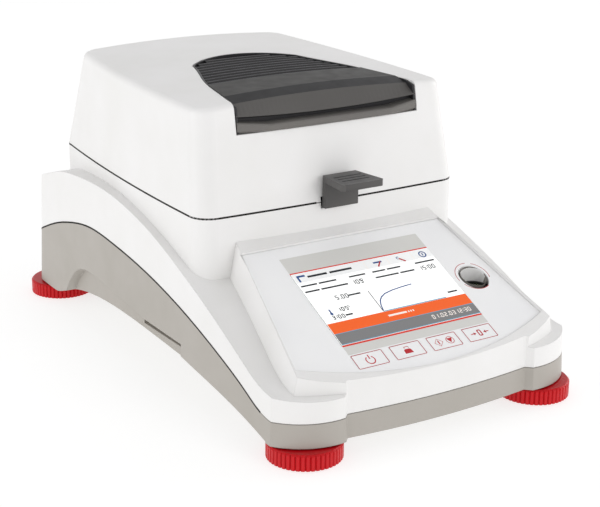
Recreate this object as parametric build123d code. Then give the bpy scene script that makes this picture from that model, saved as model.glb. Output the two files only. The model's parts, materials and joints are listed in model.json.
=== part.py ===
from build123d import *
import os
from math import atan2, cos, degrees, pi, radians, sin

os.makedirs("parts", exist_ok=True)

# Axes: +X right as seen from the front, -Y towards the user, +Z up, origin under the middle on the bench

# Housing plan and walls
side_half_front = 102.0
side_half_mid = 99.5
side_half_rear = 96.0
front_face_y = -172.5
face_bow = 4.0
lobe_inner_x = 61.0
lobe_step = 3.5
lobe_mid_x = 88.5
lobe_mid_y = -167.5
lobe_corner_y = -155.0
rear_y = 172.0
rear_corner_r = 22.0
side_draft_deg = 2.5
wall = 2.5
seam_gap = 0.4
fit_gap = 0.3
seat_gap = 0.05

# Side profile heights, front to rear
seam_front_z = 24.0
seam_peak_z = 69.0
seam_rear_z = 40.0
lobe_top_z = 36.5
shoulder_z = 99.0
rear_deck_z = 79.0
skirt_z = 10.4
skirt_arch_z = 22.0
scoop_depth = 6.0
scoop_slope = 0.35
pocket_depth = 9.0
pocket_y0 = -54.0
pocket_y1 = 8.0
pocket_z0 = 24.6
pocket_z1 = 33.0

# Control head
head_tilt_deg = 25.7
head_front_y = -174.0
head_front_z = 39.5
head_rear_y = -62.0
head_foot_rear = 78.5
head_foot_front = 89.2
head_side_slope = 0.2
head_corner_y = -158.0
panel_recess = 3.0
panel_thick = 1.2
panel_half_rear = 70.0
panel_half_front = 85.0
panel_rear_run = 12.0
panel_front_rim = 5.0
screen_x = -1.0
screen_half_width = 48.2
screen_length = 57.6
screen_front_run = 32.6
touch_glass_thick = 1.1
display_thick = 5.0
display_margin = 3.0
key_length_x = 20.0
key_length_y = 10.0
key_pitch = 25.2
key_first_x = -38.9
key_front_run = 14.5
key_thick = 1.0
key_travel = 0.4
key_gap = 0.2
plunger_r = 2.2
dome_low = -6.4
level_x = 61.5
level_run = 61.4
level_r = 9.0
level_depth = 13.0
level_vial_r = 7.4

# Chamber and lid
rim_z = 107.2
seam_lid_z = 107.8
lid_half_front = 91.0
lid_half_rear = 77.5
lid_front_y = -64.0
lid_rear_y = 149.0
lid_corner_r = 12.0
lid_side_bow = 3.2
lid_end_bow = 1.8
lid_top_half_front = 85.0
lid_top_half_rear = 76.0
lid_top_front_y = -51.5
lid_top_rear_y = 119.0
lid_height = 68.2
crown_drop = 3.6
crown_front_z = 171.4
crown_rear_z = 175.6
lid_wall = 2.5
top_edge_r = 4.5
chamber_y = 28.0
deck_plate_z = 103.8
chamber_foot_z = 70.0
well_r = 57.0
well_floor_z = 84.0
liner_sheet = 0.8

# Dark vent insert in the lid
insert_half_front = 63.0
insert_half_mid = 53.0
insert_half_rear = 38.0
insert_tip_y = 39.0
insert_rear_y = 57.0
insert_bottom_z = 152.0
insert_gap = 0.15
insert_proud = 0.9
insert_thick = 3.2
crease_y = -41.0
crease_z = 172.4
brow_y = -46.0
brow_z = 168.0
visor_y = -54.9
visor_z = 157.8
recess_depth = 3.4
louvre_count = 9
louvre_pitch = 4.6
louvre_width = 1.8
louvre_first_y = 12.0
louvre_margin = 5.0
lip_front_y = -60.6
lip_half = 42.0
lip_height = 3.0

# Heater in the lid
liner_z = 110.0
liner_thick = 2.4
heater_r = 58.0
heater_wall = 1.0
heater_height = 26.0
lamp_ring_r = 38.0
lamp_tube_r = 4.5
lamp_z = 126.0
glass_r = 55.0
glass_thick = 2.0
glass_z = 113.6
magnet_r = 5.0
magnet_at = (lid_half_front - 31.0, lid_front_y + 14.0)
lid_screw_places = [(-76.0, -46.0), (76.0, -46.0), (-72.0, 118.0), (72.0, 118.0)]

# Hinge
hinge_y = 145.4
hinge_z = 111.6
hinge_pin_r = 2.0
hinge_pin_clear = 0.05
hinge_knuckle_r = 3.8
hinge_x = 52.0
hinge_width = 26.0
hinge_gap = 0.35
notch_rise = 2.9

# Weighing system
pan_r = 46.0
pan_rim_r = 48.5
pan_wall = 0.5
pan_floor_z = 99.4
support_r = 24.0
support_arm = 5.0
stem_r = 3.0
cell_length = 110.0
cell_width = 24.0
cell_height = 22.0
cell_top_z = 62.0
cell_gap = 0.4
cell_fixed_y0 = 92.0
cell_fixed_y1 = 124.0
bracket_z = 28.0
shield_r = 53.5
shield_height = 14.0
handler_inner_r = 46.4
handler_outer_r = 60.5
handler_thick = 2.2
handler_arm_half = 11.0
grip_half = 11.5
grip_flare = 3.0
grip_leg_y = -70.4
grip_leg_thick = 3.4
grip_top_z = 124.0
grip_reach = 21.6
grip_thick = 3.8
grip_corner_r = 2.0
grip_grooves = 3
groove_r = 0.7
groove_pitch = 4.4
groove_first = 5.0

# Levelling feet
foot_x = 80.0
foot_y = 155.0
foot_r = 20.9
foot_height = 9.6
foot_flutes = 48
flute_r = 0.85
foot_travel = 6.0
stud_r = 4.0
bush_r = 6.5
bush_height = 14.0
foot_boss_r = 10.0
stud_top_z = skirt_z + bush_height + foot_travel - 0.9
foot_boss_top = stud_top_z + 3.5
thread_clear = 0.05
pad_r = 14.0
pad_height = 2.2
pad_lift = 0.5

# Rear panel
panel_x0 = -74.0
panel_x1 = 74.0
panel_z0 = 24.0
panel_z1 = 64.0
rear_plate_thick = 2.0
inlet_x = 44.0
inlet_z = 45.0
drawer_half = 11.0
drawer_z0 = 31.4
drawer_z1 = 38.4
port_places = {
    "usb_host": (-16.0, -2.0, 30.0, 36.4),
    "usb_device": (4.0, 16.0, 30.0, 41.0),
    "serial_port": (-17.0, 17.0, 47.0, 58.6),
}
fan_x = -48.0
fan_z = 44.0
fan_size = 36.0
fan_depth = 10.0
fan_hub_r = 9.0
fan_blades = 7
blade_tip_r = 15.4
fan_bore = 2.0
fan_pin_clear = 0.05

# Boards, bosses and screws
housing_bosses = [(50.0, -150.0), (84.0, -75.0), (84.0, 52.0), (20.0, 149.0)]
boss_r = 4.2
boss_hole_r = 1.25
board_posts = [(-64.0, -140.0), (64.0, -140.0), (-64.0, -70.0), (64.0, -70.0)]
supply_posts = [(30.0, 66.0), (78.0, 66.0), (30.0, 136.0), (78.0, 136.0)]
post_r = 3.2
main_board_z = 27.0
supply_board_z = 30.0
board_thick = 1.6
screw_r = 1.5
screw_core_r = 1.15
screw_head_r = 2.9
screw_head_h = 2.0

def block(x0, x1, y0, y1, z0, z1):
    return Pos((x0 + x1) / 2, (y0 + y1) / 2, (z0 + z1) / 2) * Box(x1 - x0, y1 - y0, z1 - z0)


def post(x, y, z0, z1, r):
    return Pos(x, y, (z0 + z1) / 2) * Cylinder(r, z1 - z0)


def rod_x(x0, x1, y, z, r):
    return Pos((x0 + x1) / 2, y, z) * Rot(0, 90, 0) * Cylinder(r, x1 - x0)


def rod_y(x, y0, y1, z, r):
    return Pos(x, (y0 + y1) / 2, z) * Rot(90, 0, 0) * Cylinder(r, y1 - y0)


def ring(x, y, z0, z1, r_out, r_in):
    return post(x, y, z0, z1, r_out) - post(x, y, z0 - 1, z1 + 1, r_in)


def face_of(*edges):
    return make_face(Wire(list(edges)))


def side_slab(line, low, half=130.0):
    """Solid under a line of (y, z) points, across the whole width: straight first and last runs, a curve between."""
    start, end = line[0], line[-1]
    lead = (line[1][0] - start[0], line[1][1] - start[1])
    tail = (end[0] - line[-2][0], end[1] - line[-2][1])
    sketch = face_of(
        Line((start[0], low), start), Line(start, line[1]), Spline(*line[1:-1], tangents=[lead, tail]),
        Line(line[-2], end), Line(end, (end[0], low)), Line((end[0], low), (start[0], low)))
    return extrude(Plane.YZ * sketch, amount=half, both=True)


def plan_sketch(inset=0.0):
    """Housing outline seen from above: bowed sides, two front lobes and round rear corners."""
    fx, fy, face_y = lobe_inner_x + inset, front_face_y + face_bow + inset, front_face_y + inset
    tip_x, tip_y = fx + lobe_step, fy - lobe_step
    sx, sy = side_half_front - inset, lobe_corner_y + inset * 0.6
    rx, back_y, r = side_half_rear - inset, rear_y - inset, rear_corner_r - inset
    near = r * (1 - cos(pi / 4))
    mid_x, mid_y = lobe_mid_x - inset * 0.5, lobe_mid_y + inset
    edges = [ThreePointArc((-fx, fy), (0, face_y), (fx, fy))]
    for side in (1, -1):
        edges += [
            Line((side * fx, fy), (side * tip_x, tip_y)),
            ThreePointArc((side * tip_x, tip_y), (side * mid_x, mid_y), (side * sx, sy)),
            ThreePointArc((side * sx, sy), (side * (side_half_mid - inset), 0), (side * rx, back_y - r)),
            ThreePointArc((side * rx, back_y - r), (side * (rx - near), back_y - near), (side * (rx - r), back_y)),
        ]
    edges.append(Line((rx - r, back_y), (r - rx, back_y)))
    return make_face(Wire(edges))


def plan_block(inset=0.0):
    return extrude(plan_sketch(inset), amount=120, taper=side_draft_deg)


def seam_line(shift=0.0):
    points = [(-185, seam_front_z), (-156, seam_front_z), (-128, 31.5), (-101, 41.0), (-50, 55.0), (0, 64.0),
              (45, 68.4), (75, seam_peak_z), (110, 63.0), (148, 50.0), (185, seam_rear_z - 6)]
    return [(y, z + shift) for y, z in points]


def deck_line(shift=0.0):
    points = [(-185, lobe_top_z - 1.8), (-152, lobe_top_z + 1.2), (-124, 46.5), (-96, 59.0), (-55, 75.0),
              (-15, 88.0), (24, 96.0), (66, shoulder_z), (104, 97.0), (140, 89.5), (185, rear_deck_z - 4)]
    return [(y, z + shift) for y, z in points]


def skirt_line(shift=0.0):
    points = [(-185, skirt_z), (-128, skirt_z), (-95, 14.5), (-40, 19.0), (20, skirt_arch_z), (83, 20.5),
              (115, 14.0), (130, skirt_z), (185, skirt_z)]
    return [(y, z + shift) for y, z in points]


def arch_line():
    return [(-150, 12.0), (-117, 19.0), (-49, 28.0), (5, 36.0), (42, 39.0), (72, 41.5), (91, 38.5),
            (103, 29.0), (112, 16.0)]


def lid_outline(half_front, half_rear, y_front, y_rear, inset=0.0):
    """Bowed rectangle: wider at the front, with round corners."""
    hf, hr = half_front - inset, half_rear - inset
    yf, yr = y_front + inset, y_rear - inset
    r = lid_corner_r - inset
    near = r * (1 - cos(pi / 4))
    mid = ((hf + hr) / 2 + lid_side_bow, (yf + yr) / 2)
    edges = [ThreePointArc((r - hf, yf), (0, yf - lid_end_bow), (hf - r, yf)),
             ThreePointArc((hr - r, yr), (0, yr + lid_end_bow), (r - hr, yr))]
    for side in (1, -1):
        edges += [
            ThreePointArc((side * (hf - r), yf), (side * (hf - near), yf + near), (side * hf, yf + r)),
            ThreePointArc((side * hf, yf + r), (side * mid[0], mid[1]), (side * hr, yr - r)),
            ThreePointArc((side * hr, yr - r), (side * (hr - near), yr - near), (side * (hr - r), yr)),
        ]
    return make_face(Wire(edges))


def chamber_block(z0, z1, inset=0.0):
    base = lid_outline(lid_half_front, lid_half_rear, lid_front_y, lid_rear_y, inset)
    return extrude(Pos(0, 0, z0) * base, amount=z1 - z0)


def lid_loft(inset=0.0):
    low = lid_outline(lid_half_front, lid_half_rear, lid_front_y, lid_rear_y, inset)
    high = lid_outline(lid_top_half_front, lid_top_half_rear, lid_top_front_y, lid_top_rear_y, inset)
    return loft([Pos(0, 0, seam_lid_z) * low, Pos(0, 0, seam_lid_z + lid_height + 4) * high])


def crown_solid(shift=0.0):
    """Solid under the gently crowned lid top."""
    half = 100.0
    r = (lid_top_half_front ** 2 + crown_drop ** 2) / (2 * crown_drop)
    drop = r - (r * r - half * half) ** 0.5
    sketch = face_of(
        ThreePointArc((-half, -drop), (0, 0), (half, -drop)),
        Line((half, -drop), (half, -90)), Line((half, -90), (-half, -90)), Line((-half, -90), (-half, -drop)))
    run = lid_top_rear_y - lid_top_front_y
    rise = degrees(atan2(crown_rear_z - crown_front_z, run))
    body = extrude(Plane.XZ * sketch, amount=200, both=True)
    return Pos(0, lid_top_front_y, crown_front_z + shift) * Rot(rise, 0, 0) * body


def head_plane():
    """Plane of the control panel: local x across, local y up the slope from the front edge."""
    tilt = radians(head_tilt_deg)
    return Plane(origin=(0, head_front_y, head_front_z), x_dir=(1, 0, 0), z_dir=(0, -sin(tilt), cos(tilt)))


def run_of(y):
    return (y - head_front_y) / cos(radians(head_tilt_deg))


def local(x, run, height):
    """Point of the control panel's own frame, in the frame of the object."""
    return head_plane().from_local_coords(Vector(x, run, height))


def head_plan(inset=0.0, rise=0.0):
    """Head from above at a height over the lobes: slanting sides, arched ends and the open middle of the front."""
    narrow = inset + head_side_slope * rise
    hr, hf, x_in = head_foot_rear - narrow, head_foot_front - narrow, lobe_inner_x - inset
    y_side, y_in = head_corner_y + inset, front_face_y + face_bow + 0.3 + inset
    edges = []
    for side in (1, -1):
        edges += [
            Line((side * hr, head_rear_y + 6), (side * hf, y_side)),
            ThreePointArc((side * hf, y_side), (side * (hf + x_in) / 2, (y_side + y_in) / 2 - 1.0),
                          (side * x_in, y_in)),
            Line((side * x_in, y_in), (side * x_in, head_front_y - 10)),
        ]
    edges += [Line((hr, head_rear_y + 6), (-hr, head_rear_y + 6)),
              Line((x_in, head_front_y - 10), (-x_in, head_front_y - 10))]
    return make_face(Wire(edges))


def under_head(shift=0.0):
    """Everything below the plane of the control panel."""
    slab = Rectangle(260, 400)
    return extrude(head_plane() * Pos(0, 0, shift) * slab, amount=-200)


def head_solid(inset=0.0, shift=0.0):
    """Head with sides that spread towards their foot on the deck."""
    low, high = -10.0, 66.0
    levels = [Pos(0, 0, lobe_top_z + rise) * head_plan(inset, rise) for rise in (low, high)]
    stem = extrude(Pos(0, 0, 0) * head_plan(inset, low), amount=lobe_top_z + low)
    return (loft(levels, ruled=True) + stem) & under_head(shift) & plan_block(inset)


def panel_outline(inset=0.0):
    """Overlay sheet: straight rear edge, slanting sides and an arched front."""
    rear_run, corner_run = run_of(head_rear_y) - panel_rear_run - inset, run_of(head_corner_y) + panel_front_rim
    hr, hf = panel_half_rear - inset, panel_half_front - inset
    corner_run += inset
    return make_face(Wire([
        ThreePointArc((-hf, corner_run), (0, panel_front_rim + inset), (hf, corner_run)),
        Line((hf, corner_run), (hr, rear_run)), Line((hr, rear_run), (-hr, rear_run)),
        Line((-hr, rear_run), (-hf, corner_run))]))


def on_head(sketch, top, bottom):
    """Prism square to the control panel between two heights above its plane."""
    return extrude(head_plane() * Pos(0, 0, top) * sketch, amount=bottom - top)


def key_center(index):
    return key_first_x + index * key_pitch, key_front_run + key_length_y / 2


def screen_sketch(grow=0.0):
    return Pos(screen_x, screen_front_run + screen_length / 2) * Rectangle(
        2 * (screen_half_width + grow), screen_length + 2 * grow)


def level_y():
    return local(level_x, level_run, 0).Y


def both_sides(make):
    return make(1) + make(-1)


def mirrored(points):
    return [(side * x, y) for side in (1, -1) for x, y in points]


def upper_housing():
    skin = (plan_block() & side_slab(deck_line(), -20)) + chamber_block(chamber_foot_z, rim_z) + head_solid()
    hollow = (plan_block(wall) & side_slab(deck_line(-wall), -20)) + chamber_block(chamber_foot_z + wall, deck_plate_z - wall, wall)
    hollow += head_solid(wall, -panel_recess - wall)
    shell = skin - hollow
    shell -= chamber_block(deck_plate_z, rim_z + 2, wall + 0.4)
    shell -= post(0, chamber_y, 60, rim_z + 2, well_r)
    under_skin = side_slab(deck_line(-wall / 2), -20) + head_solid(wall / 2, -panel_recess - wall / 2)
    well_y = level_y()
    bosses = [(post(x, y, 20, 120, boss_r) & under_skin) - post(x, y, 10, 60, boss_hole_r)
              for x, y in mirrored(housing_bosses)]
    well = post(level_x, well_y, 40, 110, level_r + 1.6) & under_head(-panel_recess - wall / 2)
    shell += bosses + [well]
    cuts = [
        post(level_x, well_y, level_floor_z(), 130, level_r),
        post(level_x, well_y, 20, level_floor_z() + 0.1, level_r - 1.2),
        side_slab(seam_line(seam_gap / 2), -20),
        on_head(panel_outline(), 5, -panel_recess),
        on_head(screen_sketch(display_margin), 5, -12),
        block(-handler_arm_half - 0.6, handler_arm_half + 0.6, lid_front_y - 8, chamber_y - well_r + 6,
              deck_plate_z, rim_z + 5),
        rear_opening(fit_gap),
    ]
    for index in range(4):
        x, run = key_center(index)
        cuts.append(on_head(Pos(x, run) * Circle(plunger_r + fit_gap), 5, -12))
    for side in (1, -1):
        x = side * hinge_x
        cuts.append(block(x - hinge_width / 2 - 0.6, x + hinge_width / 2 + 0.6, hinge_y - 5, hinge_y + 16,
                          rim_z - 4, rim_z + 6))
        cuts.append(block(x - 6.4, x + 6.4, hinge_y - 3.4, hinge_y + 3.4, 80, rim_z + 5))
    return shell - cuts


def level_floor_z():
    return local(level_x, level_run, 0).Z - level_depth


def rear_opening(gap=0.0):
    return block(panel_x0 - gap, panel_x1 + gap, rear_y - 12, rear_y + 12, panel_z0 - gap, panel_z1 + gap)


def scoop(side, grow=0.0):
    """Finger scoop under the arch line: its edge slopes inwards."""
    points = [(y, z + grow) for y, z in arch_line()]
    top = Spline(*points)
    low = -30
    face = face_of(top, Line(points[-1], (points[-1][0], low)), Line((points[-1][0], low), (points[0][0], low)),
                   Line((points[0][0], low), points[0]))
    start = side * (side_half_mid + 4)
    sheet = Plane(origin=(start, 0, 0), x_dir=(0, 1, 0), z_dir=(1, 0, 0)) * face
    depth = side_half_mid + 4 - (side_half_rear - scoop_depth) + grow
    return extrude(sheet, amount=depth, dir=(-side, 0, -scoop_slope))


def grip_pocket(side, grow=0.0):
    x0, x1 = side_half_rear - scoop_depth - pocket_depth - grow, side_half_mid + 4
    solid = block(x0, x1, pocket_y0 - grow, pocket_y1 + grow, pocket_z0 - grow, pocket_z1 + grow)
    return solid if side > 0 else mirror(solid, Plane.YZ)


def lower_housing():
    skin = (plan_block() & side_slab(seam_line(-seam_gap / 2), -20)) - side_slab(skirt_line(), -20)
    hollow = (plan_block(wall) & side_slab(seam_line(5), -20)) - side_slab(skirt_line(wall), -20)
    for side in (1, -1):
        skin -= scoop(side)
        hollow -= scoop(side, wall)
        hollow -= grip_pocket(side, wall)
        skin -= grip_pocket(side)
    tray = skin - hollow
    inside = (plan_block(wall / 2) & side_slab(seam_line(-seam_gap / 2), -20)) - side_slab(skirt_line(wall / 2), -20)
    inside -= [scoop(side, wall / 2) for side in (1, -1)]
    feet = mirrored([(foot_x, foot_y), (foot_x, -foot_y)])
    adds = [post(x, y, 5, 120, boss_r) & inside for x, y in mirrored(housing_bosses)]
    adds += [post(x, y, 5, main_board_z - seat_gap, post_r) & inside for x, y in board_posts]
    adds += [post(x, y, 5, supply_board_z - seat_gap, post_r) & inside for x, y in supply_posts]
    adds.append(block(-20, 20, cell_fixed_y0 - 3, cell_fixed_y1 + 3, 5, bracket_z - seat_gap) & inside)
    adds += [post(x, y, skirt_z, foot_boss_top, foot_boss_r) for x, y in feet]
    tray += adds
    cuts = [post(x, y, skirt_z - 1, skirt_z + bush_height, bush_r + seat_gap) for x, y in feet]
    cuts += [post(x, y, skirt_z, foot_boss_top - 2, stud_r + 0.6) for x, y in feet]
    for x, y in mirrored(housing_bosses):
        cuts.append(post(x, y, 0, 80, boss_hole_r + 0.35))
        cuts.append(post(x, y, 0, screw_seat_z(y), screw_head_r + 0.4))
    cuts += [post(x, y, main_board_z - 7, 60, boss_hole_r) for x, y in board_posts]
    cuts += [post(x, y, supply_board_z - 7, 60, boss_hole_r) for x, y in supply_posts]
    cuts += [post(0, y, bracket_z - 7, 60, 1.6) for y in (cell_fixed_y0 + 6, cell_fixed_y1 - 6)]
    cuts.append(rear_opening(fit_gap))
    return tray - cuts


def screw_seat_z(y):
    return skirt_z + 4.0 if abs(y) > 100 else skirt_arch_z + 4.0


def board(x0, x1, y0, y1, z, holes, parts):
    """Circuit board with its screw holes and the blocks that stand on it."""
    body = block(x0, x1, y0, y1, z, z + board_thick)
    body += [block(px0, px1, py0, py1, z + board_thick, z + board_thick + height)
             for px0, px1, py0, py1, height in parts]
    return body - [post(x, y, z - 1, z + 3, screw_r + 0.1) for x, y in holes]


def screw(x, y, z_seat, length, head_up=True):
    way = 1 if head_up else -1
    head = post(x, y, min(z_seat, z_seat + way * screw_head_h), max(z_seat, z_seat + way * screw_head_h),
                screw_head_r)
    head = chamfer(head.edges().sort_by(Axis.Z)[-1 if head_up else 0], 0.5)
    slot = post(x, y, min(z_seat + way * screw_head_h, z_seat + way * (screw_head_h - 1.0)),
                max(z_seat + way * screw_head_h, z_seat + way * (screw_head_h - 1.0)), 1.2)
    shank = post(x, y, min(z_seat, z_seat - way * length), max(z_seat, z_seat - way * length), screw_core_r)
    return head + shank - slot


def main_board():
    parts = [(-20, 4, -120, -96, 2.4), (18, 34, -132, -116, 1.8), (-52, -36, -112, -100, 6.0),
             (30, 56, -92, -80, 9.0), (-44, -14, -86, -76, 8.0), (42, 54, -128, -108, 3.0)]
    return board(-70, 70, -145, -64, main_board_z, board_posts, parts)


def supply_board():
    parts = [(34, 44, 74, 84, 22.0), (64, 76, 76, 96, 18.0), (34, 42, 120, 134, 12.0)]
    return board(24, 84, 60, 141, supply_board_z, supply_posts, parts)


def transformer():
    z = supply_board_z + board_thick
    core = block(46, 72, 102, 132, z, z + 24) - [block(50, 68, 100, 107, z + 6, z + 18),
                                                  block(50, 68, 127, 134, z + 6, z + 18)]
    coil = block(50.3, 67.7, 101, 133, z + 6.3, z + 17.7)
    return core + coil


def keypad_board():
    """Board under the keys and the level, held square to the control panel."""
    body = on_head(Pos(-1.0, 20.2) * Rectangle(86, 14.6), dome_low, dome_low - board_thick)
    spacers = [on_head(Pos(x, 20.2) * Rectangle(2.4, 12), -panel_recess - wall - seat_gap, dome_low)
               for x in (-26.3, -1.1, 24.1)]
    return body + spacers + [key_dome(index) for index in range(4)]


def key_dome(index):
    x, run = key_center(index)
    return on_head(Pos(x, run) * Circle(3.6), dome_low + 0.5, dome_low)


def key_cap(index):
    """Key with its flat face level with the overlay and a plunger through the housing."""
    x, run = key_center(index)
    cap = on_head(Pos(x, run) * RectangleRounded(key_length_x, key_length_y, 0.8), -panel_recess + panel_thick,
                  -panel_recess + panel_thick - key_thick + 0.25)
    stem = on_head(Pos(x, run) * Circle(plunger_r), -panel_recess + 0.5, dome_low + 0.5 + key_travel + 0.15)
    return cap + stem


def overlay_panel():
    sheet = on_head(panel_outline(fit_gap), -panel_recess + panel_thick, -panel_recess + seat_gap)
    cuts = [on_head(screen_sketch(fit_gap), 5, -12), post(level_x, level_y(), 30, 130, level_r + 0.2)]
    for index in range(4):
        x, run = key_center(index)
        cuts.append(on_head(Pos(x, run) * RectangleRounded(key_length_x + 2 * key_gap, key_length_y + 2 * key_gap,
                                                           0.8 + key_gap), 5, -12))
    return sheet - cuts


def touch_glass():
    return on_head(screen_sketch(), -panel_recess + panel_thick, -panel_recess + panel_thick - touch_glass_thick)


def display_module():
    top = -panel_recess - seat_gap
    return on_head(screen_sketch(display_margin - fit_gap), top, top - display_thick)


def level_vial():
    z = level_floor_z() + seat_gap
    glass = post(level_x, level_y(), z, z + 4.6, level_vial_r)
    glass = fillet(glass.edges().sort_by(Axis.Z)[-1], 1.2)
    return glass - post(level_x, level_y(), z + 1.2, z + 3.4, level_vial_r - 1.2)


def level_bubble():
    z = level_floor_z() + 2.6
    return Pos(level_x, level_y(), z) * scale(Sphere(2.6), by=(1, 1, 0.28))


def level_cup():
    z = level_floor_z() + seat_gap
    return ring(level_x, level_y(), z, z + 5.4, level_r - 0.1, level_vial_r + 0.1)


def lid_solid():
    body = lid_loft() & crown_solid()
    top = [e for e in body.edges() if e.center().Z > crown_front_z - 8]
    return fillet(top, top_edge_r)


def insert_outline(grow=0.0):
    """Vent insert from above: arched rear, sides that widen in a curve towards the front."""
    hr, hf, hm = insert_half_rear + grow, insert_half_front + grow, insert_half_mid + grow
    tip, front = insert_tip_y + grow, lid_front_y - 12
    edges = [ThreePointArc((hr, tip), (0, insert_rear_y + grow), (-hr, tip)), Line((-hf, front), (hf, front))]
    for side in (1, -1):
        edges.append(Spline((side * hr, tip), (side * hm, -4), (side * (hf - 3.4), -34), (side * hf, lid_top_front_y),
                            tangents=[(side * 0.25, -1), (side * 0.12, -1)]))
        edges.append(Line((side * hf, lid_top_front_y), (side * hf, front)))
    return make_face(Wire(edges))


def insert_prism(grow=0.0):
    return extrude(Pos(0, 0, insert_bottom_z - grow) * insert_outline(grow), amount=50)


def behind_front(back=0.0):
    """Everything behind the folded front of the insert: two facets, the visor edge and the finger recess."""
    line = [(crease_y, 200), (crease_y, crease_z), (brow_y, brow_z), (visor_y, visor_z),
            (visor_y + recess_depth, visor_z - 0.8), (visor_y + recess_depth, 130)]
    outline = [(y + back, z) for y, z in line]
    profile = Polyline((80, 130), (80, 200), *outline, close=True)
    return extrude(Plane.YZ * make_face(profile), amount=100, both=True)


def lip_solid():
    """Finger lip along the lower front edge of the insert: slanting ends and a slightly bowed middle."""
    end_half, end_y, rear = insert_half_front - insert_gap, lip_front_y + 4.4, visor_y + recess_depth + 1
    plan = face_of(
        ThreePointArc((-lip_half, lip_front_y + 0.6), (0, lip_front_y), (lip_half, lip_front_y + 0.6)),
        Line((lip_half, lip_front_y + 0.6), (end_half, end_y)), Line((end_half, end_y), (end_half, rear)),
        Line((end_half, rear), (-end_half, rear)), Line((-end_half, rear), (-end_half, end_y)),
        Line((-end_half, end_y), (-lip_half, lip_front_y + 0.6)))
    lip = extrude(Pos(0, 0, insert_bottom_z) * plan, amount=lip_height)
    under = [e for e in lip.faces().sort_by(Axis.Z)[0].edges() if e.center().Y < end_y]
    return chamfer(under, 1.1)


def louvre_half(y):
    """Half length of the louvre that starts at y: it keeps its margin inside the outline of the insert."""
    if y + louvre_width <= insert_tip_y:
        share = (insert_tip_y - y) / (insert_tip_y + 4)
        return insert_half_rear + (insert_half_mid - insert_half_rear) * share - louvre_margin
    rise = insert_rear_y - insert_tip_y
    r = (insert_half_rear ** 2 + rise ** 2) / (2 * rise)
    return (r ** 2 - (y + louvre_width - insert_rear_y + r) ** 2) ** 0.5 - louvre_margin


def lid_insert():
    """Dark vent cover: louvred top skin, folded front and finger lip."""
    proud = Pos(0, -insert_proud, insert_proud) * (lid_loft() & crown_solid())
    core = lid_loft(insert_thick) & crown_solid(-insert_thick) & behind_front(insert_thick * 1.25)
    skin = (insert_prism() & proud & behind_front()) - core
    skin += lip_solid()
    louvres = []
    for index in range(louvre_count):
        y = louvre_first_y + index * louvre_pitch
        half = louvre_half(y)
        louvres.append(block(-half, half, y, y + louvre_width, insert_bottom_z, 190))
    return skin - louvres


def hinge_notch(x, grow=0.0):
    return rod_x(x - hinge_width / 2 - 0.6, x + hinge_width / 2 + 0.6, hinge_y, hinge_z, hinge_knuckle_r + 0.6 + grow)


def lid_shell():
    hollow = lid_loft(lid_wall) & crown_solid(-lid_wall)
    shell = lid_solid() - hollow
    boss_zone = lid_loft(lid_wall / 2) & crown_solid(-lid_wall / 2)
    shell += [(post(x, y, liner_z + liner_thick + seat_gap, 180, boss_r) & boss_zone)
              - post(x, y, 100, liner_z + 16, boss_hole_r) for x, y in lid_screw_places]
    cuts = [insert_prism(insert_gap)]
    cuts += [hinge_notch(side * hinge_x) for side in (1, -1)]
    cuts += [block(side * hinge_x - hinge_width / 2 - 0.6, side * hinge_x + hinge_width / 2 + 0.6, hinge_y - 3,
                   hinge_y + 12, 100, hinge_z) for side in (1, -1)]
    cuts.append(block(-handler_arm_half - 0.6, handler_arm_half + 0.6, lid_front_y - 8, lid_front_y + 12,
                      100, seam_lid_z + notch_rise))
    edge_round = block(-100, 100, hinge_y, hinge_y + 12, 100, hinge_z)
    edge_round -= rod_x(-101, 101, hinge_y, hinge_z, hinge_z - rim_z - 0.15)
    return shell - cuts - edge_round


def lid_liner():
    plate = extrude(Pos(0, 0, liner_z) * lid_outline(lid_half_front, lid_half_rear, lid_front_y, lid_rear_y,
                                                     lid_wall + 1.5), amount=liner_thick)
    plate = plate & block(-100, 100, -100, hinge_y - 10.5, 100, 130)
    cuts = [post(0, chamber_y, 100, 130, heater_r + fit_gap)]
    cuts += [post(x, y, 100, 130, screw_r + 0.2) for x, y in lid_screw_places]
    cuts.append(post(*magnet_at, 100, 130, magnet_r + 0.15))
    return plate - cuts


def heater_housing():
    """Pressed cup that carries the lamp: flange on the liner, vent holes in its crown."""
    z, t = liner_z + liner_thick + seat_gap, heater_wall
    low = liner_z - 0.6
    top = z + heater_height
    cup = post(0, chamber_y, low, top, heater_r) - post(0, chamber_y, low - 1, top - t, heater_r - t)
    cup += ring(0, chamber_y, z, z + t, heater_r + 5, heater_r - t / 2)
    cup = fillet(cup.edges().sort_by(Axis.Z)[-1], 0.8)
    holes = [post(26 * cos(a), chamber_y + 26 * sin(a), 120, 160, 2.6)
             for a in (2 * pi * k / 12 for k in range(12))]
    return cup - holes


def reflector():
    """Polished dish above the lamp."""
    top = liner_z + liner_thick + heater_height - heater_wall - 0.3
    r = heater_r - heater_wall - fit_gap
    outer = [(0, top), (24, top), (r - 8, top - 4), (r, top - 12)]
    inner = [(r, top - 12.8), (r - 8.3, top - 4.9), (24, top - 0.8), (0, top - 0.8)]
    profile = Polyline(*outer, *inner, close=True)
    dish = revolve(Plane.XZ * make_face(profile), axis=Axis.Z)
    y = chamber_y + lamp_ring_r - 0.9
    return Pos(0, chamber_y, 0) * dish - block(-5.2, 5.2, y - 6.6, y + 6.6, 120, 150)


def halogen_lamp():
    """Ring-shaped lamp tube with two straight ends that turn up into the sockets."""
    tube = Pos(0, chamber_y, lamp_z) * Torus(lamp_ring_r, lamp_tube_r)
    gap = block(-5, 5, chamber_y, chamber_y + 60, lamp_z - 10, lamp_z + 10)
    tube -= gap
    for side in (1, -1):
        tube += rod_x(side * 5 - 0.01 if side > 0 else -9, 9 if side > 0 else -4.99, chamber_y + lamp_ring_r - 0.9,
                      lamp_z, lamp_tube_r - 0.6)
    return tube


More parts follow.
